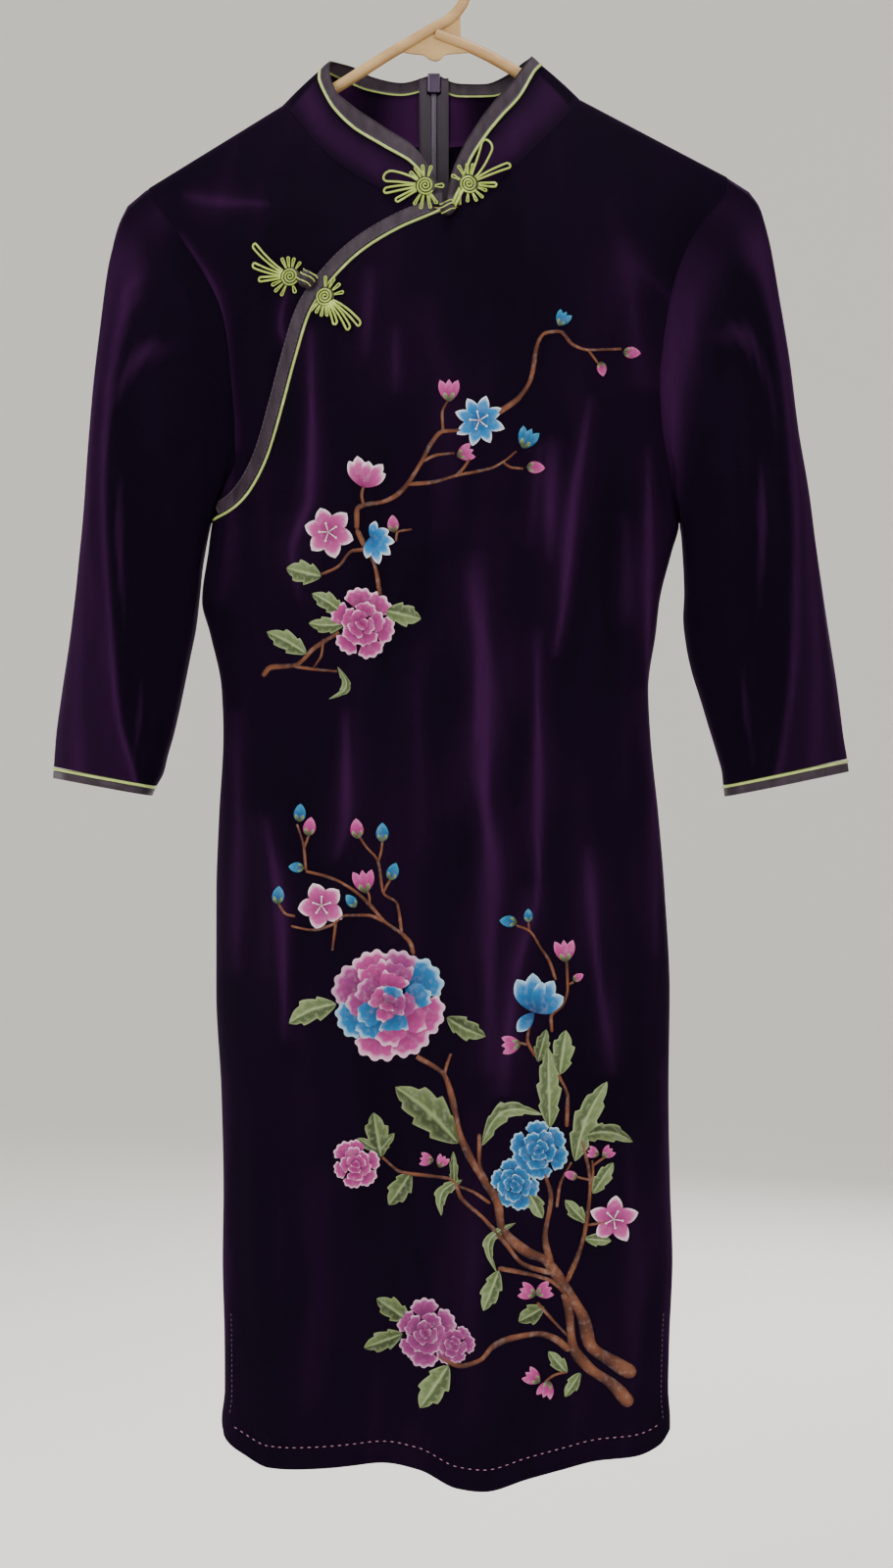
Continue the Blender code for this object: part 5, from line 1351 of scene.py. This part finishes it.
class Needle:
    def __init__(self):
        self.points, self.faces, self.colours, self.strands, self.count = [], [], [], [], 0

    # a stitched patch of cloth; px and py are as in the photograph
    def patch(self, px, py, lift, colours, strand):
        rows, cols = px.shape
        x, drop = fromPhoto(px, py)
        y = clothY(x, drop) - lift
        index = np.arange(rows * cols).reshape(rows, cols) + self.count
        quads = stack(index[:-1, :-1], index[1:, :-1], index[1:, 1:], index[:-1, 1:]).reshape(-1, 4)
        i, j = rows // 2, cols // 2
        ahead = x[i, j] - x[i - 1, j], drop[i, j] - drop[i - 1, j]
        aside = x[i, j] - x[i, j - 1], drop[i, j] - drop[i, j - 1]
        self.faces.append(quads[:, ::-1] if ahead[0] * aside[1] < ahead[1] * aside[0] else quads)
        self.points.append(stack(x, y, -drop).reshape(-1, 3))
        self.colours.append(np.broadcast_to(colours, (rows, cols, 3)).reshape(-1, 3))
        self.strands.append(np.broadcast_to(strand, (rows, cols)).ravel() / photo["scale"])
        self.count += rows * cols

    def place(self, px, py, angle, along, across):
        c, s = math.cos(angle), math.sin(angle)
        return px + along * c - across * s, py + along * s + across * c

    def petal(self, px, py, angle, length, width, colour, lift, dome=0.45, fall=1.35, rows=9, cols=7):
        u, v = np.linspace(0, 1, rows)[:, None], np.linspace(-1, 1, cols)[None, :]
        half = np.maximum(width / 2 * np.sin(math.pi * u ** fall) ** 0.7, 0.12)
        tones = shade(colour, np.clip(u ** 1.3 * 0.85 + 0.5 * np.abs(v) ** 3 * u, 0, 1))
        lift = lift + dome * (1 - v ** 2) * np.sin(math.pi * u) ** 0.5
        self.patch(*self.place(px, py, angle, u * length, v * half), lift, tones, v * half)

    # a broad petal with a scalloped pale rim
    def fan(self, px, py, angle, reach, spread, colour, lift, scallops):
        u, v = np.linspace(0.06, 1, 7)[:, None], np.linspace(-1, 1, 21)[None, :]
        lobe = np.abs(np.cos(scallops * math.pi * v / 2)) ** 0.7
        r = reach * u * (1 - 0.13 * (1 - lobe) * u ** 2) * (1 - 0.16 * np.abs(v) ** 4)
        turn = v * spread / 2
        share = u ** 1.7 * 0.78 + 0.24 * (u > 0.9) + 0.25 * (np.abs(v) > 0.93) * u
        tones = shade(colour, np.clip(share, 0, 1))
        tones = tones * (1 - 0.3 * (1 - lobe) * u * (u < 0.9))[..., None]
        lift = lift + 0.4 * np.sin(math.pi * u) * (1 - v ** 4)
        place = self.place(px, py, angle, r * np.cos(turn), r * np.sin(turn))
        self.patch(*place, lift, tones, turn * reach * 0.75)

    def peony(self, px, py, wide, tall, colours, start):
        number = 0
        for count, inner, reach, spread, lift in peonyLayers["small" if wide < 90 else "wide"]:
            for k in range(count):
                angle = start + 2 * math.pi * (k + 0.5 * (count % 2)) / count + chance.uniform(-0.15, 0.15)
                x, y = px + inner * wide / 2 * math.cos(angle), py + inner * tall / 2 * math.sin(angle)
                size = reach * (wide + tall) / 4 * (1 + chance.uniform(-0.1, 0.1))
                self.fan(x, y, angle, size, math.radians(spread), colours[number % len(colours)],
                         lift + 0.03 * k, 4 if reach * wide > 30 else 3)
                number += 1

    def flower(self, px, py, reach, count, colour, start, fall, width):
        for k in range(count):
            angle = start + 2 * math.pi * k / count + chance.uniform(-0.06, 0.06)
            length = reach * (1 + chance.uniform(-0.05, 0.05))
            self.petal(px, py, angle, length, reach * width, colour, 0.3 + 0.02 * k, fall=fall)
        for k in range(5):
            angle = start + 0.4 + 2 * math.pi * k / 5
            self.petal(px, py, angle, reach * 0.36, 0.9, "seed", 0.85, 0.1, rows=4, cols=3)
            x, y = px + reach * 0.36 * math.cos(angle), py + reach * 0.36 * math.sin(angle)
            self.petal(x - 1, y, 0, 2.2, 2.0, "seed", 0.9, 0.35, fall=1.0, rows=5, cols=5)

    def bud(self, px, py, size, angle, colour, petals):
        x, y = self.place(px, py, angle, -size * 0.5, 0)
        if petals > 1:
            for turn, lift in ((-0.4, 0.3), (0.4, 0.35)):
                self.petal(x, y, angle + turn, size, size * 0.42, colour, lift, fall=1.05)
        self.petal(x, y, angle, size * 0.95, size * (0.42 if petals > 1 else 0.62), colour, 0.55, fall=0.8)
        for turn in (-0.5, 0.5):
            self.petal(x, y, angle + turn, size * 0.45, size * 0.2, "sage", 0.85, 0.2, rows=5, cols=3)

    def leaf(self, px, py, length, angle, colour, width, bow, teeth):
        u, v = np.linspace(0, 1, 21)[:, None], np.linspace(-1, 1, 11)[None, :]
        shape = np.sin(math.pi * u ** 0.85) ** 0.75
        tooth = np.mod(u * teeth + 0.12 * np.sign(v), 1.0)
        notched = np.where(u < 0.82, 0.74 + 0.36 * tooth, 0.94)
        half = np.maximum(length * width / 2 * shape * notched, 0.15)
        along = (u - 0.5) * length + half * 0.25 * np.abs(v) * shape
        across = v * half + bow * length * (np.sin(math.pi * u) - 0.6)
        vein = np.clip(1.4 - np.abs(v) * 9, 0, 1)
        side = np.mod(u * (teeth + 2) - np.abs(v) * 0.9, 1.0)
        side = np.clip(1 - np.abs(side - 0.5) * 12, 0, 1) * (np.abs(v) < 0.8)
        rim = np.clip((np.abs(v) - 0.74) * 5, 0, 1)
        tones = shade(colour, np.clip(0.2 + 0.35 * (v > 0) + 0.2 * u, 0, 1))
        pale = shade(colour, np.ones_like(side))
        mix = np.maximum(np.maximum(vein, side * 0.75), rim)[..., None]
        self.patch(*self.place(px, py, angle, along, across), 0.26 + 0.4 * (1 - v ** 2) * shape,
                   tones * (1 - mix) + pale * mix, along * 0.7 + np.abs(v) * half * 0.9)

    def stem(self, points, width, taper):
        path = Path(points)
        start = width / 2 / path.length
        steps = np.linspace(start, 1, max(5, int(path.length / 3.2)))
        t = np.concatenate(([0, 0.1 * start, 0.3 * start, 0.6 * start], steps))
        line = path.at(t)
        ahead = path.ahead(t)
        v = np.linspace(-1, 1, 7)[None, :]
        rounded = np.sqrt(1 - (1 - np.minimum(t / start, 1)) ** 2) * 0.98 + 0.02
        half = width / 2 * rounded * (1 - (1 - taper) * t) * (1 + 0.12 * np.sin(t * path.length / 9))
        across = v * half[:, None]
        px, py = line[:, :1] - ahead[:, 1:] * across, line[:, 1:] + ahead[:, :1] * across
        # darker toward both edges and lighter on one side: painted shade and highlight of a round stem; the
        # wave along it varies the stitching's tone
        share = 0.55 + 0.25 * np.sin(t * path.length / 7)[:, None] - 0.4 * v ** 2 + 0.18 * v
        self.patch(px, py, 0.2 + 0.5 * (1 - v ** 2), shade("bark", np.clip(share, 0, 1)),
                   (t * path.length * 0.35)[:, None] + across)

    def finish(self, name):
        mesh = bpy.data.meshes.new(name)
        mesh.from_pydata((np.concatenate(self.points) * mm).tolist(), [], np.concatenate(self.faces).tolist())
        tones = np.concatenate(self.colours)
        layer = mesh.attributes.new("silk", "FLOAT_COLOR", "POINT")
        layer.data.foreach_set("color", np.concatenate((tones, np.ones((len(tones), 1))), axis=1).ravel())
        layer = mesh.attributes.new("strand", "FLOAT", "POINT")
        layer.data.foreach_set("value", np.concatenate(self.strands))
        mesh.shade_smooth()
        backing = addObject(name, mesh, "thread").modifiers.new("backing", "SOLIDIFY")
        backing.thickness, backing.offset = 0.2 * mm, -1
        print("embroidery stitched:", len(mesh.polygons), "faces")


# points in the photograph, width in its pixels, and the share of it left at the far end
stems = (
    (((648, 1403), (626, 1390), (602, 1372), (595, 1345), (576, 1314), (555, 1285), (537, 1277),
      (511, 1250), (508, 1228), (493, 1204), (478, 1178), (469, 1157), (460, 1116), (453, 1097),
      (425, 1078)), 14, 0.32),
    (((644, 1434), (624, 1412), (600, 1395), (584, 1372), (580, 1335), (576, 1320)), 13, 0.6),
    (((578, 1308), (590, 1280), (597, 1255), (602, 1207), (594, 1164)), 5, 0.6),
    (((581, 1378), (566, 1366), (550, 1361), (520, 1366), (503, 1374), (490, 1388), (470, 1394),
      (448, 1384)), 7, 0.6), (((562, 1290), (556, 1262), (562, 1222), (556, 1198)), 7, 0.5),
    (((566, 1300), (534, 1290), (515, 1268), (493, 1243), (470, 1222), (462, 1204), (440, 1200),
      (410, 1196), (390, 1181)), 5, 0.6), (((500, 1228), (482, 1216), (466, 1210)), 3.4, 0.7),
    (((508, 1294), (530, 1298), (560, 1306), (580, 1322)), 4.5, 0.9),
    (((489, 1157), (489, 1185), (497, 1205)), 4, 0.9), (((548, 1329), (562, 1345), (578, 1362)), 3.2, 0.8),
    (((568, 1232), (571, 1210), (583, 1186)), 3, 0.8),
    (((364, 540), (370, 553), (382, 575), (388, 608)), 5, 0.8),
    (((386, 560), (360, 562), (345, 578), (328, 586)), 4, 0.6),
    (((364, 540), (364, 520), (372, 515), (390, 512), (407, 503), (430, 471), (440, 452), (452, 440),
      (470, 439)), 5, 0.8),
    (((507, 422), (530, 405), (542, 385), (548, 352), (556, 340), (570, 338), (585, 352), (600, 357),
      (634, 356)), 5.5, 0.4), (((600, 357), (606, 365), (611, 372)), 2.4, 0.8),
    (((452, 440), (451, 422), (457, 408)), 2.8, 0.8),
    (((416, 494), (440, 492), (466, 485), (500, 478), (515, 470), (527, 460)), 4, 0.5),
    (((514, 472), (522, 477), (534, 478)), 2.4, 0.8), (((466, 485), (474, 476), (479, 468)), 3, 0.8),
    (((430, 471), (446, 464), (464, 462)), 3, 0.8), (((371, 516), (369, 505), (371, 496)), 3, 0.8),
    (((404, 552), (405, 543), (420, 540)), 2.4, 0.6),
    (((268, 690), (276, 681), (300, 679), (322, 660), (346, 645)), 5, 0.8),
    (((300, 680), (322, 683), (344, 685)), 3, 0.8), (((330, 652), (328, 668), (320, 681)), 2.4, 0.8),
    (((422, 974), (419, 963), (410, 953), (393, 941), (376, 922), (360, 908), (338, 896),
      (312, 889)), 4, 0.7), (((312, 888), (310, 865), (303, 841)), 2.8, 0.8),
    (((310, 866), (313, 858), (315, 852)), 2.6, 0.8),
    (((410, 953), (405, 922), (391, 911), (386, 880), (372, 862), (367, 854)), 3, 0.8),
    (((386, 879), (389, 868), (390, 858)), 2.6, 0.8), (((391, 911), (395, 903), (398, 898)), 2.6, 0.8),
    (((377, 924), (377, 915), (375, 910)), 2.6, 0.8), (((301, 935), (292, 933), (284, 922)), 2.6, 0.8),
    (((393, 941), (375, 934), (353, 934), (338, 944), (319, 949), (297, 945)), 3, 0.8),
    (((343, 939), (339, 970)), 2.8, 0.8),
    (((567, 1000), (560, 980), (552, 968), (540, 950), (526, 944)), 3, 0.8),
    (((540, 950), (539, 942)), 2.4, 0.8),
    (((563, 1053), (562, 1038), (575, 1024), (579, 1009), (578, 980)), 3.2, 0.8),
    (((579, 1005), (585, 1002)), 2.4, 0.8),
    (((546, 1078), (538, 1060), (541, 1045), (544, 1036)), 3.2, 0.8),
    (((538, 1066), (528, 1064)), 2.6, 0.8), (((578, 1150), (579, 1120), (570, 1097)), 4, 0.8),
    (((453, 1097), (456, 1086), (460, 1075)), 3.4, 0.6),
    (((602, 1213), (605, 1195), (604, 1184)), 2.6, 0.8),
    (((604, 1190), (612, 1184), (618, 1180)), 2.4, 0.8),
    (((602, 1204), (592, 1202), (587, 1200)), 2.4, 0.8),
    (((600, 1250), (612, 1248), (618, 1246)), 2.6, 0.8),
    (((578, 1400), (566, 1403), (556, 1410)), 2.4, 0.8),
)
# centre, size, direction in degrees, colour, petals
buds = (
    (574, 325, 17, -60, "blueBud", 3), (645, 360, 19, 5, "bud", 1), (614, 377, 16, 80, "bud", 1),
    (458, 398, 24, -90, "bud", 3), (475, 462, 19, -20, "bud", 3), (538, 447, 23, -65, "blueBud", 3),
    (547, 477, 20, 5, "bud", 1), (401, 534, 19, -95, "bud", 1), (306, 829, 20, -85, "blueBud", 1),
    (316, 843, 21, -80, "bud", 1), (364, 845, 22, -95, "bud", 1), (390, 849, 21, -90, "blueBud", 1),
    (302, 885, 17, 185, "blueBud", 1), (401, 889, 20, -70, "blueBud", 1), (371, 899, 25, -98, "bud", 3),
    (284, 913, 20, -85, "blueBud", 1), (358, 919, 17, 230, "blueBud", 1), (518, 940, 19, 185, "blueBud", 1),
    (539, 934, 15, -90, "blueBud", 1), (576, 970, 24, -95, "bud", 3), (590, 997, 13, -30, "bud", 1),
    (521, 1066, 21, 175, "bud", 3), (435, 1183, 15, 190, "bud", 3), (451, 1185, 14, -60, "bud", 3),
    (605, 1176, 13, 200, "bud", 3), (620, 1176, 14, -40, "bud", 3), (582, 1199, 15, 200, "bud", 1),
    (538, 1318, 19, 200, "bud", 3), (555, 1317, 19, -20, "bud", 3), (543, 1405, 19, 215, "bud", 3),
    (557, 1418, 19, 110, "bud", 3),
)
# centre, reach, petals, colour, start angle, roundness, width
flowers = (
    (489, 429, 26, 8, "blueTip", 0.3, 0.95, 0.5), (335, 543, 26, 6, "pinkTip", 0.25, 1.1, 0.68),
    (328, 924, 25, 5, "pinkTip", 0.55, 1.1, 0.74), (626, 1244, 25, 5, "pinkTip", -1.5, 0.9, 0.66),
)
# half-open flowers: root, then direction, length and width of each petal
sprays = (
    (370, 497, "pinkTip", ((-118, 30, 13), (-100, 32, 15), (-30, 27, 12), (-48, 31, 14), (-76, 27, 17))),
    (378, 548, "blueTip", ((-72, 17, 9), (-20, 20, 11), (12, 25, 11), (42, 27, 12), (72, 29, 12),
      (100, 22, 10))),
    (545, 1033, "blue", ((-118, 38, 20), (-92, 40, 20), (-58, 38, 18), (-28, 34, 20), (132, 26, 14),
      (-75, 32, 18))),
)
# centre, width, height, colours
peonies = (
    (369, 637, 58, 82, ("pink",)),
    (396, 1023, 120, 110, ("pink", "blue", "mauve", "pink", "mauve", "blue", "pink")),
    (525, 1208, 46, 56, ("blue",)), (549, 1173, 58, 60, ("blue",)), (363, 1188, 46, 54, ("pink",)),
    (434, 1360, 58, 72, ("mauve",)), (462, 1371, 44, 42, ("mauve",)),
)
# centre, length, direction in degrees, colour, width, bow
leaves = (
    (310, 584, 36, 193, "sage", 0.68, 0), (335, 615, 38, 213, "sage", 0.5, 0.05),
    (334, 637, 38, 180, "sage", 0.46, -0.05), (411, 627, 38, 13, "sage", 0.62, 0),
    (293, 655, 46, 209, "sage", 0.46, 0.04), (348, 699, 34, 105, "sage", 0.3, -0.4),
    (318, 1032, 52, 158, "sage", 0.5, 0.08), (475, 1049, 44, 26, "leaf", 0.5, 0.05),
    (574, 1074, 46, -82, "sage", 0.52, 0), (553, 1067, 34, -75, "leaf", 0.45, 0),
    (560, 1110, 82, -91, "sage", 0.3, 0), (517, 1142, 70, -27, "sage", 0.28, -0.3),
    (600, 1143, 88, -68, "sage", 0.3, -0.06), (619, 1158, 54, 5, "leaf", 0.36, -0.14),
    (437, 1136, 86, 222, "leaf", 0.46, 0.05), (408, 1213, 40, 124, "leaf", 0.58, 0),
    (385, 1158, 46, -100, "leaf", 0.55, 0), (376, 1168, 26, -150, "leaf", 0.4, 0),
    (394, 1166, 26, -50, "leaf", 0.4, 0), (455, 1219, 42, 120, "sage", 0.34, 0.26),
    (463, 1194, 38, -92, "leaf", 0.24, 0), (546, 1229, 31, 62, "sage", 0.55, 0),
    (587, 1236, 31, 227, "sage", 0.5, 0), (615, 1202, 38, -56, "sage", 0.44, 0),
    (610, 1265, 27, 5, "sage", 0.5, 0), (506, 1269, 54, 111, "sage", 0.22, 0.34),
    (501, 1317, 44, 111, "sage", 0.46, 0), (542, 1341, 30, 150, "leaf", 0.66, 0),
    (401, 1336, 40, 213, "leaf", 0.56, 0), (391, 1368, 42, 160, "leaf", 0.5, 0),
    (443, 1415, 52, 124, "sage", 0.56, 0), (569, 1390, 29, 229, "sage", 0.5, 0),
    (584, 1413, 29, 122, "sage", 0.46, 0),
)


# rings of petals: count, distance out, reach, spread in degrees, lift
peonyLayers = {
    "wide": ((8, 0.32, 0.7, 80, 0.25), (7, 0.2, 0.6, 84, 0.5), (5, 0.08, 0.5, 88, 0.75),
             (4, 0.0, 0.36, 96, 1.0), (2, -0.05, 0.22, 110, 1.25)),
    "small": ((6, 0.3, 0.72, 86, 0.25), (5, 0.12, 0.58, 92, 0.55), (3, 0.0, 0.42, 112, 0.85),
              (2, -0.08, 0.26, 120, 1.1)),
}


def embroider():
    needle = Needle()
    for points, width, taper in stems:
        needle.stem(points, width, taper)
    for px, py, length, degrees, colour, width, bow in leaves:
        teeth = 2 + (length >= 34) + (length >= 60)
        needle.leaf(px, py, length, math.radians(degrees), colour, width, bow, teeth)
    for px, py, size, degrees, colour, petals in buds:
        needle.bud(px, py, size, math.radians(degrees), colour, petals)
    for flower in flowers:
        needle.flower(*flower)
    for px, py, colour, parts in sprays:
        for k, (degrees, length, width) in enumerate(parts):
            needle.petal(px, py, math.radians(degrees), length, width, colour, 0.3 + 0.07 * k, fall=1.2,
                         rows=12)
    for px, py, wide, tall, colours in peonies:
        needle.peony(px, py, wide, tall, colours, px * 0.1)
    needle.finish("silkEmbroidery")


embroider()


# stitches along the hem, the seams and the slits
stitching = {
    "hemUp": 15.0, "hemPitch": 5.2, "hemStitch": (0.32, 0.28, 1.25), "seamPitch": 3.4,
    "seamStitch": (0.24, 0.22, 1.1), "rollRadius": 0.62, "rollTop": 431.0, "rollEnd": 990.0,
    "rollHem": 1084.0,
}


def hemRow(back):
    share = np.linspace(-0.93, 0.93, 240)
    drop = hemAt(share, back) - stitching["hemUp"]
    x = acrossAt(share, drop)
    lift = 0.15 if back else -0.15
    return stack(x, clothY(x, drop, back) + lift, -drop)


def rollSeams():  # rolled cloth that closes the shoulder, side and centre back seams
    lines = []
    for side, neckX in ((-1, -114.0), (1, 92.5)):
        x = np.linspace(neckX, shoulderTips[side][0] - side * 1.5, 60)
        lines.append(stack(x, 0 * x, -shoulderDrop(x) - 0.45))
        drop = np.linspace(stitching["rollTop"], stitching["rollEnd"], 160)
        lines.append(stack(sideAt(side, drop) - side * 0.5, 0 * drop, -drop))
    drop = np.linspace(zipValues["lowDrop"] - 2, stitching["rollHem"], 160)
    lines.append(stack(backCentre(drop), clothY(backCentre(drop), drop, True) - 0.6, -drop))
    cord("seamRolls", lines, stitching["rollRadius"], "velvet", sides=8)


def sew():
    rows = [hemRow(False), hemRow(True)]
    stitchRow("hemStitches", rows, stitching["hemPitch"], stitching["hemStitch"], "hemThread")
    rows = []
    for reach in (2.9, 10.6):
        x, drop = placket.beside(np.linspace(0.03, 0.96, 200), reach).T
        rows.append(squareOut(np.maximum(x, bodyAt("left", drop) + 1.6), drop, cut["bandLift"] + 0.12))
    for side, low in ((-1, 1052), (1, 1056)):
        drop = np.linspace(985, low, 60)
        x = sideAt(side, drop) - side * 6
        rows.append(stack(x, clothY(x, drop) - 0.15, -drop))
    stitchRow("bandStitches", rows, stitching["seamPitch"], stitching["seamStitch"], "seamThread")


rollSeams()
sew()
print("stitching done")


# tie every piece to the model
clothSheets = {  # flat width and length of each cut, in metres, and its area in square metres
    "velvetFrontMain": ((0.372, 0.968), 0.289), "velvetFrontShoulder": ((0.205, 0.293), 0.0236),
    "velvetBackLeft": ((0.206, 0.952), 0.152), "velvetBackRight": ((0.205, 0.955), 0.156),
    "velvetSleeveLeft": ((0.34, 0.42), 0.0775), "velvetSleeveRight": ((0.345, 0.42), 0.0805),
    "velvetCollarLeft": ((0.225, 0.045), 0.0069), "velvetCollarRight": ((0.222, 0.045), 0.0069),
    "collarBindingLeft": ((0.23, 0.01), 0.0021), "collarBindingRight": ((0.22, 0.01), 0.002),
    "cuffBindingLeft": ((0.152, 0.01), 0.00095), "cuffBindingRight": ((0.19, 0.01), 0.0013),
    "placketBinding": ((0.265, 0.011), 0.0028), "zipTapeLeft": ((0.01, 0.475), 0.0044),
    "zipTapeRight": ((0.01, 0.475), 0.0044),
}
for name, (slot, node) in made.items():
    piece = bpy.data.objects[name]
    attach(piece, "dress")
    if node:
        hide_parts(node)
    if name in clothSheets:
        flat, area = clothSheets[name]
        held = "stretched" if "Binding" in name or "Tape" in name else "hung"
        ["hanger"] if held == "hung" else []
print("pieces:", len(made))

bpy.context.view_layer.update()
